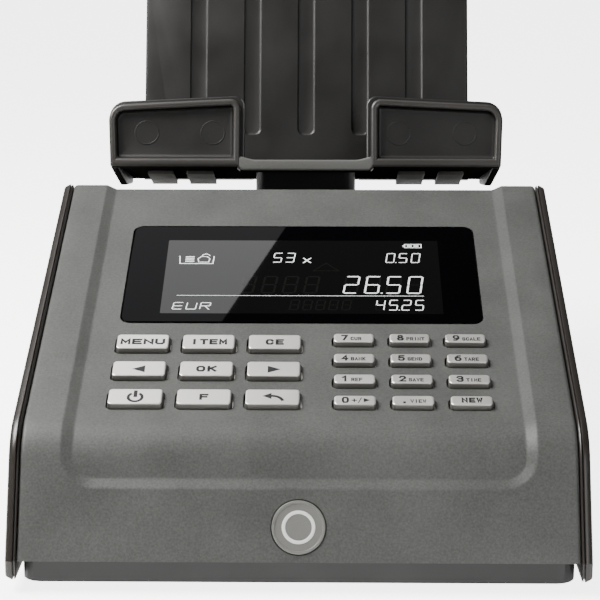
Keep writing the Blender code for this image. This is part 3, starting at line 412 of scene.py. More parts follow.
# name, colour, roughness, colour variation, grain per metre, grain depth in mm
COVER_GREY = material("cover_grey", "464745", 0.5, 0.3, 1700, 0.07, specular=0.3)
CHEEK_BLACK = material("cheek_black", "25211e", 0.33, 0.1, 1800, 0.012)
BASE_BLACK = material("base_black", "1e1e1e", 0.55, 0.12, 1900, 0.03)
KEY_SILVER = material("key_silver", "e4e2dd", 0.34, 0.03, 2600, 0.008, 80, metallic=0.9)
# a darker copy of the key paint for the caps' sides: painted shade
KEY_SIDE_PAINTED_SHADE = material("key_side_painted_shade", "8e8c88", 0.36, 0.04, 2600, 0.008, 80, metallic=0.8)
LEGEND_GREY = material("legend_grey", "232323", 0.5, 0.08, 4000, 0.003, specular=0.2)
WINDOW_BLACK = material("window_black", "020203", 0.015, 0.3, 900, 0.0002, 20, specular=0.012)
LCD_GREY = material("lcd_grey", "040404", 0.015, 0.12, 1200, 0.0002, 30, specular=0.1)
LCD_GHOST = material("lcd_ghost", "0e0e0d", 0.02, 0.1, 1500, 0.0002, specular=0.1)
LCD_LIT = glow(material("lcd_lit", "b0b2b2", 0.3, 0.03, 1500, 0.0003), "f4f7f7", 1.0)
TRAY_BLACK = material("tray_black", "131211", 0.42, 0.14, 1500, 0.03, specular=0.4)
TRAY_UNDER = material("tray_under", "141312", 0.7, 0.14, 1500, 0.03, specular=0.0)
# a lighter copy of the tray black for the rims' crowns: painted sheen
RIM_PAINTED_SHEEN = material("rim_painted_sheen", "2c2a28", 0.36, 0.1, 1500, 0.02)
# a lighter grey for the rail's top faces: painted highlight where light falls
RAIL_PAINTED_HIGHLIGHT = material("rail_painted_highlight", "4e4e4c", 0.42, 0.1, 1500, 0.02)
TONGUE_GREY = material("tongue_grey", "4a4946", 0.6, 0.1, 1500, 0.02, specular=0.1)
STEM_BLACK = material("stem_black", "1a1b1b", 0.3, 0.2, 1500, 0.002, specular=0.3)
BADGE_GREY = material("badge_grey", "6b6b68", 0.3, 0.06, 2600, 0.006)
BADGE_LIGHT = material("badge_light", "d6d6d2", 0.3, 0.04, 2600, 0.006)
RUBBER = material("foot_rubber", "262626", 0.82, 0.2, 2200, 0.05)
SILICONE = material("mat_silicone", "9a9c9c", 0.6, 0.06, 1800, 0.02)
BOARD_GREEN = material("board_green", "1f5a34", 0.4, 0.15, 900, 0.01)
ALUMINIUM = material(
    "cell_aluminium", "c5c7c8", 0.32, 0.05, 900, 0.01, metallic=1.0, stretch=(1, 0.05, 1)
)
STEEL = material("screw_steel", "b4b4b2", 0.28, 0.08, 1800, 0.01, metallic=1.0)
SOCKET_BLACK = material("socket_black", "1a1a1a", 0.42, 0.12, 1800, 0.02)
BATTERY_BLUE = material("battery_blue", "2b57a0", 0.3, 0.06, 700, 0.01, coat=0.5)
DISPLAY_GREY = material("display_grey", "5a5a5e", 0.45, 0.08, 1500, 0.01)


def wear(made, *looks):
    """Give an object these materials, in this order, and no others."""
    made.data.materials.clear()
    for look in looks:
        made.data.materials.append(look)


def finish(made, look, body="console", replaced=()):
    """Give a piece its material and the body that it rides on, and hide the CAD nodes that it
    replaces.
    """
    if look:
        wear(made, look)
    if replaced:
        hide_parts(*replaced)
    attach(made, body)


# --- the cover

CONSOLE_PATH = [
    (FRONT_Y, COVER_BOTTOM, 0),
    (KINK.x, KINK.y, KINK_RADIUS),
    (RIDGE.x, RIDGE.y, RIDGE_RADIUS),
    (DECK.x, DECK.y, DROP_RADIUS),
    (REAR_TOP.x, REAR_TOP.y, REAR_RADIUS),
    (REAR_Y, COVER_BOTTOM, 0),
]
SHOULDER = 1.2  # the radius along the cover's sides
STEP_OUTER, STEP_INNER = 61.6, 58.7  # the recess's sloped step, from its top edge to its floor
RECESS_END = FRONT_LENGTH - 12.9  # up the front face from the cover's bottom edge
RECESS_CORNER = 7.5
RECESS_LENGTH = 400  # any length that reaches past the ridge: the recess is open there
FADE_LENGTH = 4  # where the recess runs out, past the ridge


def path_pieces(corners):
    """(length, function) for each straight or round piece of an open path.

    The function gives the point and the outward normal at a distance along the piece.
    """
    pieces = []
    start = Vector(corners[0][:2])

    def line(origin, along, length):
        pieces.append((length, lambda u: (origin + along * u, left_of(along))))

    def arc(origin, along, radius, turn):
        signed = math.copysign(radius, turn)
        centre = origin + left_of(along) * signed

        def place(u):
            normal = left_of(along)
            normal.rotate(Matrix.Rotation(u / signed, 2))
            return centre - normal * signed, normal

        pieces.append((radius * abs(turn), place))

    for before, corner, after in zip(corners, corners[1:], corners[2:]):
        middle = Vector(corner[:2])
        into = (middle - Vector(before[:2])).normalized()
        out = (Vector(after[:2]) - middle).normalized()
        turn = math.atan2(into.x * out.y - into.y * out.x, into.dot(out))
        reach = corner[2] * math.tan(abs(turn) / 2)
        line(start, into, (middle - into * reach - start).length)
        arc(middle - into * reach, into, corner[2], turn)
        start = middle + out * reach
    last = Vector(corners[-1][:2])
    line(start, (last - start).normalized(), (last - start).length)
    return pieces


def on_path(pieces, distance):
    for length, place in pieces[:-1]:
        if distance <= length:
            return place(distance)
        distance -= length
    return pieces[-1][1](min(distance, pieces[-1][0]))


def spaced(low, high, count):
    return [low + (high - low) * i / count for i in range(count + 1)]


def thinned(values, least):
    """Sorted values, without those too close to the one before."""
    kept = []
    for value in sorted(values):
        if not kept or value - kept[-1] > least:
            kept.append(value)
    return kept


def recess_share(x, distance, floor_end):
    """How deep the recess is at a point of the unrolled cover: 0 outside it and 1 on its floor."""
    middle = (STEP_OUTER + STEP_INNER) / 2
    half = RECESS_LENGTH / 2
    qx = abs(x) - (middle - RECESS_CORNER)
    qy = abs(distance - RECESS_END - half) - (half - RECESS_CORNER)
    away = math.hypot(max(qx, 0), max(qy, 0)) + min(max(qx, qy), 0) - RECESS_CORNER
    slope = STEP_OUTER - STEP_INNER
    fade = min(max((distance - floor_end) / FADE_LENGTH, 0), 1)
    fade = 1 - fade * fade * (3 - 2 * fade)
    return min(max((slope / 2 - away) / slope, 0), 1) * fade


ROW_COUNTS = (10, 20, 24, 14, 8, 8, 8, 14, 5)  # rows on each piece of the path
RIDGE_END = 4  # the ridge's corner is the path's fourth piece


def cover_skin():
    """The cover's outer form: a fine grid over its bent top, with its sides and bottom closed."""
    pieces = path_pieces(CONSOLE_PATH)
    rows, ends = [], [0]
    for (length, _), count in zip(pieces, ROW_COUNTS):
        rows += spaced(ends[-1], ends[-1] + length, count)
        ends.append(ends[-1] + length)
    rows += spaced(RECESS_END - 1.6, RECESS_END + 9, 26)
    rows = [0, *thinned([r for r in rows if 1.5 < r < ends[-1] - 0.5], 0.12), ends[-1]]
    half = [0, 9, 18, 27, 36, 44, 50, *spaced(52.4, 62.6, 30), 64.5, 67]
    edge = COVER_HALF - SHOULDER
    half += [edge + SHOULDER * math.sin(math.pi / 2 * i / 7) for i in range(8)]
    columns = [-x for x in half[:0:-1]] + half
    points = []
    for index, distance in enumerate(rows):
        place, normal = on_path(pieces, distance)
        for x in columns:
            depth = RECESS_DEPTH * recess_share(x, distance, ends[RIDGE_END] + 2)
            over = max(abs(x) - edge, 0)
            depth += SHOULDER - math.sqrt(max(SHOULDER ** 2 - over ** 2, 0))
            if index in (0, len(rows) - 1):
                inwards = 1 if index == 0 else -1
                point = Vector((place.x + inwards * depth / abs(normal.x), COVER_BOTTOM))
            else:
                point = place - normal * depth
            points.append((x, point.x, point.y))
    wide, tall = len(columns), len(rows)
    starts = [i * wide + j for i in range(tall - 1) for j in range(wide - 1)]
    faces = [[a, a + wide, a + wide + 1, a + 1] for a in starts]
    left = [i * wide for i in range(tall)]
    faces.append(left[::-1])
    faces.append([i + wide - 1 for i in left])
    faces.append([*range(wide), *((tall - 1) * wide + j for j in reversed(range(wide)))])
    return add_mesh("cover_shell", points, faces)


KEY_CORNER = 1.2
KEY_CLEARANCE = 0.5
KEY_TOP = 0.2
KEY_BLOCKS = (  # names by rows, the first key's centre, pitch, size
    ("menu item clear/left ok right/power function back", (-43.6, 40.9), (18.2, 12.6), (14.65, 6.9)),
    ("7 8 9/4 5 6/1 2 3/0 point new", (14.6, 42.9), (15.4, 9.5), (11.3, 4.3)),
)


def all_keys():
    """(name, centre, size) of every key."""
    for names, start, pitch, size in KEY_BLOCKS:
        for row, line in enumerate(names.split("/")):
            for column, name in enumerate(line.split()):
                yield name, (start[0] + column * pitch[0], start[1] - row * pitch[1]), size


WINDOW_SIZE = (102, 51.2)
WINDOW_MIDDLE = (0, 52.0 + WINDOW_SIZE[1] / 2)
WINDOW_TOP = 0.2 - RECESS_DEPTH
WINDOW_THICKNESS = 1.2
WINDOW_CORNER = 3
WINDOW_GAP = 0.3  # round the window and under it
WINDOW_LEDGE = 4  # the cover's ledge that carries the window
BADGE_RADIUS = 6.9
BADGE_GAP = 0.3
BADGE_DEPTH = 0.9
BADGE_FRAME = FRONT @ shift((0, -24, 0))
STEM_HOLE = (36.5, 23)
JACK_X, USB_X = -48, 48
JACK_RADIUS = 3.5
USB_SIZE = (9, 3.6)
SOCKET_HEIGHT = 24
REAR_FACE = shift((0, REAR_Y, SOCKET_HEIGHT)) @ Matrix.Rotation(math.pi / 2, 4, "X")


def rod(name, radius, low, high, place, steps):
    """A plain round cutter."""
    return lathe(name, [(0, high), (radius, high), (radius, low), (0, low)], place, steps)


def make_cover():
    cover = cover_skin()
    corners = [(FRONT_Y, COVER_BOTTOM, 0), (REAR_Y, COVER_BOTTOM, 0)]
    corners += [CONSOLE_PATH[i] for i in (4, 3, 2, 1)]
    cavity = inset(corners, [-20, WALL, WALL, WALL, SKIN, WALL])
    half = COVER_HALF - WALL
    inside = solid("cavity", cavity, [(-half, 0), (half, 0)], SIDE)
    holes = []
    for name, centre, size in all_keys():
        corners = rectangle(*(s + 2 * KEY_CLEARANCE for s in size), KEY_CORNER + KEY_CLEARANCE, centre)
        holes.append(solid("hole_" + name, corners, [(-3 * SKIN, 0), (SKIN, 0)], PANEL, steps=5))
    size = (s + 2 * WINDOW_GAP for s in WINDOW_SIZE)
    corners = rectangle(*size, WINDOW_CORNER + WINDOW_GAP, WINDOW_MIDDLE)
    floor = WINDOW_TOP - WINDOW_THICKNESS - WINDOW_GAP
    holes.append(solid("pocket", corners, [(floor, 0), (SKIN, 0)], PANEL))
    badge = BADGE_RADIUS + BADGE_GAP
    holes.append(rod("badge_pocket", badge, -BADGE_DEPTH, WALL, BADGE_FRAME, 64))
    corners = rectangle(*STEM_HOLE, 4, (0, STEM_Y))
    holes.append(solid("stem_hole", corners, [(DECK.y / 2, 0), (DECK.y + 5, 0)]))
    place = REAR_FACE @ shift((JACK_X, 0, 0))
    holes.append(rod("jack_hole", JACK_RADIUS, -9, 9, place, 32))
    corners = rectangle(*USB_SIZE, 0.6, (USB_X, 0))
    holes.append(solid("usb_hole", corners, [(-9, 0), (9, 0)], REAR_FACE, steps=3))
    view = rectangle(*(s - 2 * WINDOW_LEDGE for s in WINDOW_SIZE), 0.5, WINDOW_MIDDLE)
    opening = solid("view", view, [(-3 * SKIN, 0), (SKIN, 0)], PANEL, steps=2)
    carve(cover, inside, join("holes", *holes), opening)
    finish(cover, COVER_GREY, replaced=["top_cover"])


CHEEK_PROUD = 0.4  # above the cover's surface
CHEEK_RIDGE_RADIUS = 2.4


def make_cheeks():
    """The black side plates: a groove runs round near the cover, and the outer edge slopes."""
    low, high = node_box("right_cheek")
    path = [*CONSOLE_PATH]
    path[2] = (RIDGE.x, RIDGE.y, CHEEK_RIDGE_RADIUS)
    corners = [(FRONT_Y, low.z, 0.6), (REAR_Y, low.z, 0.6), *reversed(path)]
    corners = inset(corners, [0] + 7 * [-CHEEK_PROUD])
    thickness = high.x - low.x
    rings = [(-0.45, 0.9), (-0.4, 0.5), (-0.3, 0.3), (0.0, 0.15), (0.1, 0.9), (0.4, 0.9), (0.45, 0.05)]
    rings += [(0.65, 0.0), (thickness - 0.4, 0.7), (thickness - 0.1, 1.05), (thickness, 1.3)]
    for name, mirror in SIDES:
        place = mirror @ SIDE @ shift((0, 0, low.x))
        cheek = solid(name + "_cheek_panel", corners, rings, place, steps=14, smooth=50)
        finish(cheek, CHEEK_BLACK, replaced=[name + "_cheek"])


# --- display


def plates(name, shapes, low, high, place):
    """Thin plates with these outlines, all in one object."""
    points, faces = [], []
    for shape in shapes:
        base, count = len(points), len(shape)
        points += [(x, y, low) for x, y in shape] + [(x, y, high) for x, y in shape]
        faces.append([base + i for i in reversed(range(count))])
        faces.append([base + count + i for i in range(count)])
        faces += band(base, base + count, count)
    return add_mesh(name, points, faces, place)


SEGMENTS = {
    "0": "abcdef", "2": "abged", "3": "abgcd", "4": "fgbc", "5": "afgcd", "6": "afgedc",
    "8": "abcdefg", "E": "afged", "U": "bcdef", "R": "abfger",
}
SLANT = 0.12


def segment_shapes(sign, x, y, width, height, thick):
    """The outlines of a slanted seven-segment sign's bars."""
    gap, t = thick * 0.14, thick / 2
    left, right, low, mid, high = x + t, x + width - t, y + t, y + height / 2, y + height - t
    wide, lower, upper = right - left - 2 * gap, mid - low - 2 * gap, high - mid - 2 * gap
    bars = {
        "a": (left + gap, high, wide), "g": (left + gap, mid, wide), "d": (left + gap, low, wide),
        "f": (left, mid + gap, upper), "b": (right, mid + gap, upper),
        "e": (left, low + gap, lower), "c": (right, low + gap, lower),
    }
    shapes = {}
    for name in bars:
        cx, cy, n = bars[name]
        shape = [(0, 0), (t, t), (n - t, t), (n, 0), (n - t, -t), (t, -t)]
        level = name in "agd"
        shapes[name] = [(cx + a, cy + b) if level else (cx - b, cy + a) for a, b in shape]
    middle = x + width * 0.45
    shapes["r"] = [(middle, mid - gap), (middle + thick, mid - gap), (right + t, y),
                   (right - t * 1.4, y)]
    lit = SEGMENTS[sign]
    return {k: [(px + (py - y) * SLANT, py) for px, py in shapes[k]] for k in shapes if k in lit}


def number_shapes(text, right, y, width, height, thick, pitch):
    """The bars of a number that ends at x = right, and those of its unlit signs."""
    lit, ghosts = [], []
    x = right - width
    for sign in reversed(text):
        if sign == ".":
            dot = x + width + (pitch - width) * 0.5
            lit.append(bar(dot - thick / 2, y, dot + thick / 2, y + thick))
            continue
        shown = segment_shapes(sign, x, y, width, height, thick)
        every = segment_shapes("8", x, y, width, height, thick)
        lit += shown.values()
        ghosts += [shape for key, shape in every.items() if key not in shown]
        x -= pitch
    return lit, ghosts


def ring_shape(x, y, outer, inner, start, end, steps=20):
    """An arc-shaped band."""
    angles = [math.radians(a) for a in spaced(start, end, steps)]
    outside = [(x + outer * math.cos(a), y + outer * math.sin(a)) for a in angles]
    inside = [(x + inner * math.cos(a), y + inner * math.sin(a)) for a in reversed(angles)]
    return outside + inside


def bar(x0, y0, x1, y1):
    return [(x0, y0), (x1, y0), (x1, y1), (x0, y1)]


def strokes(lines, thick):
    """The outlines of lines drawn with a pen: one four-sided piece for each straight part."""
    shapes = []
    for line in lines:
        points = [Vector(p) for p in line]
        along = [(b - a).normalized() for a, b in zip(points, points[1:])]
        if points[0] == points[-1]:
            along = [along[-1], *along, along[0]]
        else:
            along = [along[0], *along, along[-1]]
            points[0] -= along[0] * thick / 2
            points[-1] += along[-1] * thick / 2
        sides = []
        for point, before, after in zip(points, along, along[1:]):
            middle = (left_of(before) + left_of(after)).normalized()
            reach = min(thick / 2 / max(middle.dot(left_of(before)), 0.2), thick)
            sides.append((point + middle * reach, point - middle * reach))
        for (a, b), (c, d) in zip(sides, sides[1:]):
            shapes.append([tuple(a), tuple(b), tuple(d), tuple(c)])
    return shapes


LCD_WIDTH, LCD_LOW, LCD_HIGH = 80.3, 56.4, 95.0
LCD_TOP = WINDOW_TOP + 0.02
SIGN_DEPTH = 0.05
LIT_HEIGHT, GHOST_HEIGHT = 0.03, 0.012
# (text, right end, foot, width, height, pen, pitch) of each number on the display
SMALL = (2.6, 5.2, 0.34, 3.7)
DISPLAY_NUMBERS = (
    ("53", -2.6, 82.9, 2.7, *SMALL[1:]),
    ("0.50", 34.3, 82.9, *SMALL),
    ("26.50", 34.2, 66.6, 4.3, 9.1, 0.52, 6.1),
    ("45.25", 34.5, 58.1, 2.6, 5.3, 0.34, 3.7),
)


def battery_sign(x0, y0, x1, y1):
    """A case with two bars, and its cap at the left."""
    case = [(x0, y0), (x1, y0), (x1, y1), (x0, y1), (x0, y0)]
    ends = ((0.7, 2.1), (2.7, 4.1), (-0.6, -0.15))
    return strokes([case], 0.3) + [bar(x0 + a, y0 + 0.5, x0 + b, y1 - 0.5) for a, b in ends]


def stock_sign(x0, x1, y0):
    """A pile of coins and a bag in an open tray."""
    tray = [(x0, y0 + 3.9), (x0 + 0.2, y0), (x1 - 0.2, y0), (x1, y0 + 3.9)]
    bag = [(5.7, 0.8), (5.4, 2.7), (6.3, 3.8), (8.0, 3.8), (8.9, 2.7), (8.6, 0.8), (5.7, 0.8)]
    coins = [y0 + 0.9 + index * 0.85 for index in range(4)]
    shapes = strokes([tray], 0.35) + [bar(x0 + 1.7, y, x0 + 4.3, y + 0.45) for y in coins]
    shapes += strokes([[(x0 + x, y0 + y) for x, y in bag]], 0.3)
    return [*shapes, ring_shape(x0 + 7.7, y0 + 4.0, 1.3, 1.0, 10, 190)]


def make_display():
    rings = rounded(WINDOW_TOP - WINDOW_THICKNESS, WINDOW_TOP, bottom=0.15, top=0.25, steps=4)
    rings.append((WINDOW_TOP, 0.5))
    corners = rectangle(*WINDOW_SIZE, WINDOW_CORNER, WINDOW_MIDDLE)
    window = solid("window_glass", corners, rings, PANEL, steps=12)
    finish(window, WINDOW_BLACK, replaced=["display_window"])

    area = rectangle(LCD_WIDTH, LCD_HIGH - LCD_LOW, 0.4, (0, (LCD_LOW + LCD_HIGH) / 2))
    lcd = solid("lcd_area", area, [(WINDOW_TOP - 0.1, 0), (LCD_TOP, 0)], PANEL, steps=3)
    finish(lcd, LCD_GREY)

    lit, ghosts = [], []
    for number in DISPLAY_NUMBERS:
        shown, unlit = number_shapes(*number)
        lit += shown
        ghosts += unlit
    for index, sign in enumerate("EUR"):
        lit += segment_shapes(sign, -37.0 + index * 3.9, 58.3, 3.0, 3.6, 0.3).values()
    lit.append(bar(-36.0, 65.35, 34.9, 65.5))
    lit += strokes([[(0.3, 82.9), (2.3, 85.2)], [(0.3, 85.2), (2.3, 82.9)]], 0.4)
    lit += battery_sign(30.3, 91.2, 35.2, 93.0)
    lit += stock_sign(-36.3, -26.2, 82.2)
    # unlit signs in the empty part of the glass
    for index in range(4):
        ghosts += number_shapes("8", -14 + index * 6.1, 66.6, 4.2, 9.1, 0.62, 6.1)[0]
    for index in range(5):
        ghosts += number_shapes("8", -1 + index * 3.7, 58.1, 2.7, 5.3, 0.4, 3.7)[0]
    ghosts += strokes([[(3.2, 78.5), (10.6, 78.5), (6.9, 82.6), (3.2, 78.5)]], 0.4)
    low = LCD_TOP - SIGN_DEPTH
    ghost = plates("lcd_unlit_signs", ghosts, low, LCD_TOP + GHOST_HEIGHT, PANEL)
    finish(ghost, LCD_GHOST)
    shown = plates("lcd_lit_signs", lit, low, LCD_TOP + LIT_HEIGHT, PANEL)
    finish(shown, LCD_LIT)


# --- keys

KEY_WORDS = {
    "7": "CUR", "8": "PRINT", "9": "SCALE", "4": "BANK", "5": "SEND", "6": "TARE",
    "1": "REF", "2": "SAVE", "3": "TIME", "point": "VIEW",
}
KEY_NAMES = {
    "menu": ("MENU", 12.3), "item": ("ITEM", 10.2), "clear": ("CE", 5.0), "ok": ("OK", 5.5),
    "function": ("F", 2.4),
}
# Each letter as lines between points, on a square that is one unit wide and high
LETTERS = {
    "A": "0,0 .5,1 1,0/.2,.32 .8,.32",
    "B": "0,0 0,1 .8,1 1,.85 1,.65 .8,.52 0,.52/.8,.52 1,.38 1,.15 .8,0 0,0",
    "C": "1,.78 .8,1 .2,1 0,.75 0,.25 .2,0 .8,0 1,.22",
    "D": "0,0 0,1 .65,1 1,.7 1,.3 .65,0 0,0", "E": "1,1 0,1 0,0 1,0/0,.5 .85,.5",
    "F": "0,0 0,1 1,1/0,.5 .85,.5", "I": ".5,0 .5,1", "K": "0,0 0,1/1,1 0,.45/.3,.62 1,0",
    "L": "0,1 0,0 1,0", "M": "0,0 0,1 .5,.3 1,1 1,0", "N": "0,0 0,1 1,0 1,1",
    "O": ".2,0 .8,0 1,.25 1,.75 .8,1 .2,1 0,.75 0,.25 .2,0",
    "P": "0,0 0,1 .8,1 1,.85 1,.6 .8,.45 0,.45",
    "R": "0,0 0,1 .8,1 1,.85 1,.6 .8,.45 0,.45/.5,.45 1,0",
    "S": "1,.8 .8,1 .2,1 0,.85 0,.65 .2,.52 .8,.48 1,.35 1,.15 .8,0 .2,0 0,.2",
    "T": "0,1 1,1/.5,1 .5,0", "U": "0,1 0,.25 .2,0 .8,0 1,.25 1,1", "V": "0,1 .5,0 1,1",
    "W": "0,1 .25,0 .5,.8 .75,0 1,1", "1": ".1,.75 .55,1 .55,0",
    "2": "0,.8 .2,1 .8,1 1,.82 1,.6 0,0 1,0",
    "3": "0,.85 .2,1 .8,1 1,.85 1,.65 .8,.52 .35,.52/.8,.52 1,.38 1,.15 .8,0 .2,0 0,.15",
    "4": ".75,0 .75,1 0,.3 1,.3", "5": ".95,1 .1,1 .05,.55 .7,.62 1,.45 1,.2 .8,0 .2,0 0,.15",
    "6": ".9,1 .5,1 0,.6 0,.2 .2,0 .8,0 1,.2 1,.4 .8,.58 .1,.55", "7": "0,1 1,1 .35,0",
    "8": ".5,.53 .1,.7 .2,1 .8,1 .9,.7 .5,.53 1,.35 1,.15 .8,0 .2,0 0,.15 0,.35 .5,.53",
    "9": ".9,.45 .2,.42 0,.6 0,.8 .2,1 .8,1 1,.8 1,.4 .5,0 .1,0",
}
LETTER_SHARE = 0.9  # of its pitch that a letter fills
MAIN_PEN, SMALL_PEN = 0.6, 0.3


def letters(text, x, y, width, height, thick):
    """The outlines of a word that fills a box whose lower left corner is (x, y)."""
    share = LETTER_SHARE if len(text) > 1 else 1
    wide, tall = width / len(text) * share - thick, height - thick
    pitch = (width - wide - thick) / max(len(text) - 1, 1)
    lines = []
    for index, sign in enumerate(text):
        start = x + index * pitch + thick / 2
        for line in LETTERS[sign.replace("0", "O")].split("/"):
            points = [[float(v) for v in pair.split(",")] for pair in line.split()]
            middle = start + wide / 2
            lines.append([(middle + (a - 0.5) * wide, y + thick / 2 + b * tall) for a, b in points])
    return strokes(lines, thick)


def key_signs(name):
    """The outlines of the legend on a key: letters or a drawn sign."""
    if name in KEY_NAMES:
        word, width = KEY_NAMES[name]
        return letters(word, -width / 2, -1.5, width, 2.6, 0.72)
    if name == "new":
        return letters("NEW", -2.7, -1.0, 5.6, 2.2, MAIN_PEN)
    if name in ("left", "right"):
        side = -1 if name == "left" else 1
        return [[(side * 1.9, -0.35), (-side * 1.6, 1.2), (-side * 1.6, -1.9)]]
    if name == "power":
        return [ring_shape(0, -0.45, 2.25, 1.45, 122, 418, 32), bar(-0.5, -0.4, 0.5, 2.5)]
    if name == "back":
        arc = ring_shape(-0.1, -2.6, 3.35, 2.5, 16, 95, 14)
        return [arc, [(-2.7, 0.3), (-0.3, 1.6), (-0.3, -1.0)]]
    if name == "point":
        return [bar(-2.7, -1.4, -2.0, -0.6), *letters("VIEW", -0.8, -1.2, 4.2, 1.5, SMALL_PEN)]
    shapes = letters(name, -3.5, -1.3, 1.9, 2.6, MAIN_PEN)
    if name == "0":
        shapes += [bar(-0.9, -0.35, 0.5, 0.0), bar(-0.37, -0.9, -0.03, 0.55)]
        shapes += strokes([[(0.9, -1.2), (1.7, 0.9)]], 0.25)
        return [*shapes, [(4.0, -0.1), (2.3, 0.75), (2.3, -0.95)]]
    word = KEY_WORDS[name]
    return shapes + letters(word, -0.9, -1.2, len(word), 1.5, SMALL_PEN)


FLANGE = 0.9  # how far a cap's foot reaches out under the cover


def make_keys():
    """Drafted key caps with rounded tops, each with its flange under the cover and its legend."""
    low, high = -SKIN - 1.3, -SKIN - 0.3
    rings = [(low, -FLANGE), (high - 0.1, -FLANGE), (high, 0.1 - FLANGE), (high, 0)]
    rings += [(-RECESS_DEPTH, 0.02)]
    crown = rounded(-RECESS_DEPTH, KEY_TOP, bottom=0, top=0.34, gap=0.12, steps=6)
    rings += [*crown[len(crown) // 2:], (KEY_TOP, 0.7)]
    out = PANEL.to_3x3() @ Vector((0, 0, 1))
    for name, centre, size in all_keys():
        place = PANEL @ shift((*centre, 0))
        cap = solid("cap", rectangle(*size, KEY_CORNER), rings, place, smooth=40)
        wear(cap, KEY_SILVER, KEY_SIDE_PAINTED_SHADE)
        # faces that stand across the panel get the darker copy of the key paint: painted shade on the
        # caps' sides
        for face in cap.data.polygons:
            face.material_index = 1 if abs(face.normal.dot(out)) < 0.5 else 0
        legend = plates("legend", key_signs(name), KEY_TOP - 0.06, KEY_TOP + 0.02, place)
        wear(legend, LEGEND_GREY)
        key = join(f"keycap_{name}", cap, legend)
        finish(key, None, "key_" + name, ["key_" + name])


# --- badge


def make_badge():
    """A plain round disc with a raised rim and a plain ring."""
    r = BADGE_RADIUS
    profile = [(0, -0.6), (r - 0.1, -0.6), (r, -0.5), (r, 0.15), (r - 0.15, 0.3), (r - 0.65, 0.3),
               (r - 0.8, 0.12), (0, 0.12)]
    disc = lathe("badge_rim", profile, BADGE_FRAME, 72)
    finish(disc, BADGE_GREY, replaced=["badge_disc"])
    profile = [(0, 0.0), (4.3, 0.0), (4.3, 0.2), (4.15, 0.26), (3.55, 0.26), (3.4, 0.2),
               (3.4, 0.08), (0, 0.08)]
    ring = lathe("badge_ring", profile, BADGE_FRAME, 60)
    finish(ring, BADGE_LIGHT)


# --- tray

WING_INNER = 21.7
WING_OUTER = 64.9
WING_TOP_OUTER = 18.8
WING_TOP_INNER = 21.0
WING_FLARE = 0.94
WING_FOOT = -2.4
FLOOR_REAR = 20.0
FLOOR_FRONT = 5.5
FLOOR_THICKNESS = 2.0
FLOOR_WIDTH = 128.8
SKIRT_X, SKIRT_LIFT = 63.2, 3
SKIRT_TURN = math.radians(7)
DISH_MARKS = (31, 53)
DISH_MARK_HEIGHT = 9.6
REST_FACE, REST_THICKNESS, REST_LENGTH = -20.3, 2.2, 76
REST_FOOT = -3.5
REST_WIDTH = 112
TONGUES = ((31, 40), (44.5, 53))
GROOVES = 5
STEM_SIZE, STEM_WALL = (33.5, 20), 1.8
PLUG_GAP = 0.4


def wing_outline(border=0.0):
    """The right wing's corners, grown at its top and inner edge by a border."""
    return [
        (WING_INNER - border, WING_FOOT, 0.6),
        (WING_OUTER, WING_FOOT, 1.0),
        (WING_OUTER + WING_FLARE, WING_TOP_OUTER + border, 5.5),
        (WING_INNER - border, WING_TOP_INNER + border, 3.4),
    ]


def make_wings():
    """Each wing is a thin back plate with a deep rounded rim around a dish."""
    weights = (1.35, 1, 1, 1)
    rings = rounded(2.9, 6.0, bottom=0, top=1.0, steps=5)
    rings += [(6.0, 1.55), (5.85, 2.0), (5.45, 2.3), (4.9, 2.45), (4.2, 2.6), (3.75, 2.95), (3.6, 3.6)]
    for name, mirror in SIDES:
        place = mirror @ TRAY
        back = solid("back", wing_outline(1.4), rounded(1.6, 3.2, 0.35, 0.5, steps=4), place, steps=10)
        rim = solid("rim", wing_outline(), rings, place, weights, steps=10, smooth=45)
        marks = []
        profile = [(0, -0.4), (4.1, -0.4), (4.1, 0.14), (3.9, 0.2), (3.7, 0.14), (3.7, 0.09),
                   (0, 0.09)]
        for x in DISH_MARKS:
            spot = place @ shift((x, DISH_MARK_HEIGHT, 3.55))
            marks.append(lathe("mark", profile, spot, 40))
        yield from (back, rim, *marks)


def make_skirts():
    """The hanging flanks at the tray's outer ends."""
    end = -FLOOR_REAR * 0.9
    corners = [
        (0.0, -0.4, 0.4), (end, -0.6, 0.4), (end, -4.0, 1.2),
        (end / 2, -6.0, 2.4), (5.4, -2.6, 1.4), (5.4, 1.7, 0.4),
    ]
    lift = shift((0, 0, SKIRT_LIFT))
    turned = Matrix.Rotation(SKIRT_TURN, 4, "Y") @ lift.inverted() @ UPRIGHT
    for name, mirror in SIDES:
        place = mirror @ TRAY @ shift((SKIRT_X, 0, 0)) @ lift @ turned
        yield solid(f"skirt_{name}", corners, rounded(-1.3, 1.3, 0.7, 0.7, steps=4), place, steps=6)


def floor_height(y):
    """The middle of the tray's tilted floor above a point of the table."""
    return TRAY_Z - (y - TRAY_Y) * math.tan(TRAY_LEAN) - FLOOR_THICKNESS / 2


def make_plug():
    """The plug under the floor that fits the hollow stem."""
    less = 2 * (STEM_WALL + PLUG_GAP)
    corners = rectangle(*(s - less for s in STEM_SIZE), 2.2, (0, STEM_Y))
    bottom = node_box("note_tray")[0].z
    points, faces = layered(corners, [(bottom, 0.5), (bottom + 0.5, 0), (bottom + 6, 0)], steps=6)
    count = len(points) // 3
    points[-count:] = [(x, y, floor_height(y)) for x, y, _ in points[-count:]]
    return add_mesh("plug", points, faces)


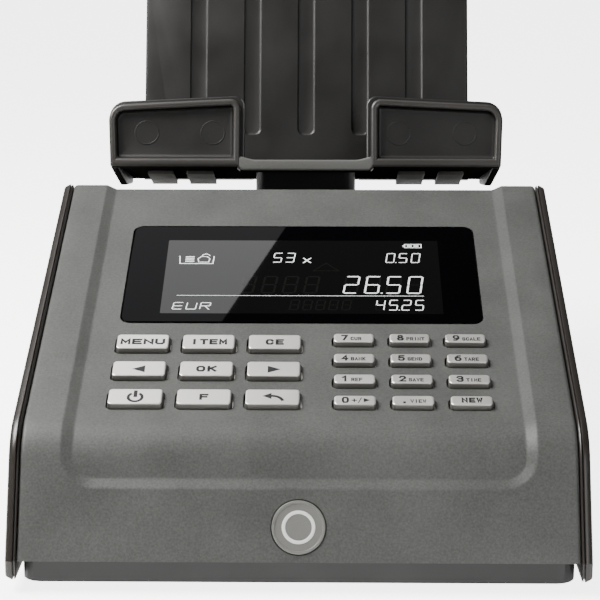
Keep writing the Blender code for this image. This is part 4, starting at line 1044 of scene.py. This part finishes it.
def make_tray():
    floor = solid(
        "floor",
        rectangle(FLOOR_WIDTH, FLOOR_REAR + FLOOR_FRONT, 1.0, (0, (FLOOR_REAR - FLOOR_FRONT) / 2)),
        rounded(-FLOOR_THICKNESS, 0, 0.45, 0.45, steps=4),
        TRAY_FLOOR,
        steps=6,
    )
    rail_half = WING_INNER + 1.3
    low, high = -3.5, 1.9
    corners = [
        (-rail_half, low, 2.4), (rail_half, low, 2.4),
        (rail_half, high, 0.2), (rail_half - 1.5, 1.4, 1.5), (rail_half - 5.5, 0.3, 7),
        (5.5 - rail_half, 0.3, 7), (1.5 - rail_half, 1.4, 1.5), (-rail_half, high, 0.2),
    ]
    rail = solid("rail", corners, rounded(2.0, 5.75, 0.3, 0.8, steps=5), TRAY, steps=6, smooth=45)
    tray = carve(floor, rail, *make_wings(), *make_skirts(), make_plug(), operation="UNION")
    tray.name = "note_tray_moulding"
    finish(tray, None, "tray", ["note_tray"])
    wear(tray, TRAY_BLACK, TRAY_UNDER, RIM_PAINTED_SHEEN, RAIL_PAINTED_HIGHLIGHT)
    down = TRAY_FLOOR.to_3x3() @ Vector((0, 0, -1))
    for face in tray.data.polygons:
        middle = TRAY.inverted() @ (face.center / MM)
        if face.normal.dot(down) > 0.8:
            face.material_index = 1
        # the rail's top faces get the lighter grey: painted highlight
        elif abs(middle.x) < rail_half - 1.5 and middle.z > 3:
            face.material_index = 3
        # the rims' crowns get the lighter black: painted sheen
        elif middle.z > 5.2:
            face.material_index = 2


def make_back_rest():
    """The plate that the notes lean on, with its sunk panels and its tongues."""
    foot, face, half = REST_FOOT, REST_FACE, REST_WIDTH / 2
    corners = [(-half, foot, 0.6), (half, foot, 0.6), (half, REST_LENGTH, 9), (-half, REST_LENGTH, 9)]
    rings = rounded(face - REST_THICKNESS, face, 0.7, 0.7, steps=4)
    rest = solid("back_rest_plate", corners, rings, TRAY, steps=14)
    cutters = [block("notch", (-18.25, 2 * foot, 2 * face), (18.25, -1.7, 0), TRAY)]
    (a, b), (c, d) = TONGUES
    for x0, x1 in ((-d - 7, -d), (-c, -b), (-a, -10), (10, a), (b, c), (d, d + 7)):
        cutters.append(block("gap", (x0, 2 * foot, 2 * face), (x1, -1.9, 0), TRAY))
    pitch = REST_WIDTH / (GROOVES + 1)
    for index in range(GROOVES):
        centre = ((index - 2) * pitch, (foot + REST_LENGTH) / 2 + REST_LENGTH * 0.05)
        groove = rectangle(pitch / 3, REST_LENGTH * 0.7, pitch / 8, centre)
        depth = [(face - 0.8, 0.9), (face - 0.65, 0.35), (face - 0.3, 0.0), (face + 1, 0)]
        cutters.append(solid(f"groove_{index}", groove, depth, TRAY))
    carve(rest, *cutters)
    finish(rest, TRAY_BLACK, "tray", ["back_rest"])
    tongues = []
    for inner, outer in TONGUES:
        for a, b in ((-outer, -inner), (inner, outer)):
            corners = rectangle(b - a, 20.1, 0.8, ((a + b) / 2, 11.35))
            rings = rounded(foot, foot + 1.2)
            tongues.append(solid("tongue", corners, rings, TRAY_FLOOR, steps=5))
    tongue = join("back_rest_tongues", *tongues)
    finish(tongue, TONGUE_GREY, "tray")


def make_stem():
    """The hollow stem: rounded corners and a thin wall at its open, tilted top."""
    corners = rectangle(*STEM_SIZE, 4, (0, STEM_Y))
    bottom, hollow = STEM_LOW.z, STEM_LOW.z + 9
    stem = solid("stem_column", corners, [(bottom, 0.4), (bottom + 0.4, 0), (TRAY_Z, 0)], steps=12)
    inner = rectangle(*(s - 2 * STEM_WALL for s in STEM_SIZE), 2.2, (0, STEM_Y))
    inside = solid("hollow", inner, [(hollow, 0), (TRAY_Z + 5, 0)])
    trim = block("trim", (-40, -2.3, -60), (40, 60, 60), TRAY)
    carve(stem, inside, trim)
    for node_name in ("stem_screw_front", "stem_screw_rear"):
        y = sum(corner.y for corner in node_box(node_name)) / 2
        place = shift((0, y, 0))
        carve(stem, rod("hole", 2.1, bottom - 5, hollow + 5, place, 20))
    finish(stem, STEM_BLACK, "platform", ["platform_carrier"])


# --- underside and back


def at_corners(kind):
    """(name, place, lowest corner, highest corner) of each foot or screw, seen in plan."""
    for end in ("front", "rear"):
        for side in ("left", "right"):
            name = f"{kind}_{end}_{side}"
            low, high = node_box(name)
            middle = (low + high) / 2
            yield name, shift((middle.x, middle.y, 0)), low, high


def make_feet():
    """Rubber feet with a rounded rim and a ring groove."""
    for name, place, low, high in at_corners("foot"):
        r = (high.x - low.x) / 2
        profile = [(0, high.z), (r, high.z), (r, 1.0), (r - 0.25, 0.35), (r - 0.8, 0.0), (3.9, 0.0),
                   (3.7, 0.35), (3.1, 0.35), (2.9, 0.0), (0, 0.0)]
        foot = lathe("rubber_" + name, profile, place, 40)
        finish(foot, RUBBER, replaced=[name])


def make_cover_screws():
    """Round-head screws with a crossed recess, sunk in the base."""
    for name, place, low, high in at_corners("screw"):
        z = low.z
        profile = [(0, high.z), (0.9, high.z), (1.5, high.z - 1.2), (1.5, z + 2.0), (3.0, z + 2.0),
                   (3.0, z + 0.7), (2.6, z + 0.2), (1.9, z), (0, z)]
        screw = lathe("cross_" + name, profile, place, 32)
        for index in range(2):
            turn = place @ Matrix.Rotation(math.pi / 2 * index, 4, "Z")
            carve(screw, block("cross", (-1.7, -0.32, z - 1), (1.7, 0.32, z + 1.0), turn))
        finish(screw, STEEL, replaced=[name])


def make_door_grip():
    """Raised ribs on the battery door, to push it with a thumb."""
    low, high = node_box("battery_door")
    ribs = []
    for index in range(6):
        y = high.y - 9 - index * 2.2
        corners = rectangle(20 - index * 1.6, 1.1, 0.5, (0, y))
        ribs.append(solid("rib", corners, rounded(low.z - 0.45, low.z + 0.2, 0.35, 0), steps=4))
    finish(join("battery_door_ribs", *ribs), BASE_BLACK, "battery_door")


def dress_nodes():
    """Give the CAD nodes that stay their materials, and soften the base's edges."""
    looks = (
        (BASE_BLACK, "base_shell battery_door"),
        (DISPLAY_GREY, "lcd_module"),
        (SILICONE, "keypad_mat"),
        (BOARD_GREEN, "keypad_board main_board"),
        (STEM_BLACK, "buzzer"),
        (ALUMINIUM, "load_cell load_cell_mount"),
        (BATTERY_BLUE, "battery_pack"),
        (SOCKET_BLACK, "dc_jack"),
        (STEEL, "overload_stop usb_port cell_screw_front cell_screw_rear"),
        (STEEL, "stem_screw_front stem_screw_rear"),
    )
    for look, names in looks:
        for name in names.split():
            wear(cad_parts[name], look)
    for name in ("base_shell", "battery_door"):
        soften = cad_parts[name].modifiers.new("soften", "BEVEL")
        soften.width = 0.25 * MM
        soften.segments = 2
        soften.limit_method = "ANGLE"
        soften.angle_limit = math.radians(50)


# --- studio


GLARE_CORNERS = ((-2.9, 110), (-46.9, -20), (-120, -20), (-120, 110))  # on the window's plane
GLARE_DISTANCE = 1.4  # metres from the window


def make_glare_card():
    """A pale card high behind the object: its slanted edge crosses the display's reflection."""
    normal = (PANEL.to_3x3() @ Vector((0, 0, 1))).normalized()
    corners = []
    for x, t in GLARE_CORNERS:
        start = (PANEL @ Vector((x, t, WINDOW_TOP))) * MM
        along = (start - CAMERA.location).normalized()
        along -= 2 * along.dot(normal) * normal
        corners.append((start + along * GLARE_DISTANCE) / MM)
    card = add_mesh("glare_card", corners, [[0, 1, 2, 3]])
    look = bpy.data.materials.new("glare_card")
    look.use_nodes = True
    fill(look.node_tree.nodes["Principled BSDF"], {"Base Color": (0, 0, 0, 1)})
    wear(card, glow(look, "f4f4f6", 6.0))
    card.visible_camera = card.visible_diffuse = card.visible_shadow = False


FLOOR_SIZE = 4000
FLOOR_GLOW, FLOOR_SEEN = 0.8, 4.5  # the light it gives, and the brightness that the camera sees
BACKDROP_SEEN = 4.8
WORLD_LOW, WORLD_HIGH = (0.06, 0.06, 0.06), (0.2, 0.2, 0.2)
WORLD_TOWARD = (0, 0.6, 0.8)  # the sky is brightest high behind the object


def camera_ray(tree):
    return node(tree, "LightPath").outputs["Is Camera Ray"]


def make_floor():
    s = FLOOR_SIZE
    floor = add_mesh("floor", [(-s, -s, 0), (s, -s, 0), (s, s, 0), (-s, s, 0)], [[0, 1, 2, 3]])
    look = material("floor_white", "f6f6f5", 0.8, 0.01, 300, 0.001, patches=3, specular=0.0)
    glow(look, "fafafa", 1.0)
    tree = look.node_tree
    values = {"To Min": FLOOR_GLOW, "To Max": FLOOR_SEEN}
    bright = node(tree, "MapRange", values, {"Value": camera_ray(tree)}).outputs["Result"]
    tree.links.new(bright, tree.nodes["Principled BSDF"].inputs["Emission Strength"])
    wear(floor, look)


def make_world():
    """A dim sky that is brighter high behind the object, and a white backdrop for the camera."""
    world = bpy.data.worlds.new("studio")
    bpy.context.scene.world = world
    world.use_nodes = True
    tree = world.node_tree
    place = node(tree, "TexCoord").outputs["Generated"]
    toward = node(tree, "VectorMath", {1: WORLD_TOWARD}, {0: place})
    toward.operation = "DOT_PRODUCT"
    shade = ramp(tree, toward.outputs["Value"], WORLD_LOW, WORLD_HIGH, 0.6, 0.97)
    sky = node(tree, "Background", {"Strength": 1.0}, {"Color": shade})
    backdrop = node(tree, "Background", {"Color": (1, 1, 1, 1), "Strength": BACKDROP_SEEN})
    shaders = {"Fac": camera_ray(tree), 1: sky.outputs[0], 2: backdrop.outputs[0]}
    mixed = node(tree, "MixShader", links=shaders)
    tree.links.new(mixed.outputs["Shader"], tree.nodes["World Output"].inputs["Surface"])


def make_studio():
    make_floor()
    make_glare_card()
    make_world()
    area_light("key_light", (-360, -60, 520), (300, 300), 10.4, (1, 0.99, 0.975))
    area_light("fill_light", (500, -800, 300), (600, 600), 3.5)
    area_light("top_light", (0, 60, 1300), (700, 400), 2)


make_cover()
make_cheeks()
make_display()
make_keys()
make_badge()
make_tray()
make_back_rest()
make_stem()
make_feet()
make_cover_screws()
make_door_grip()
dress_nodes()
make_studio()
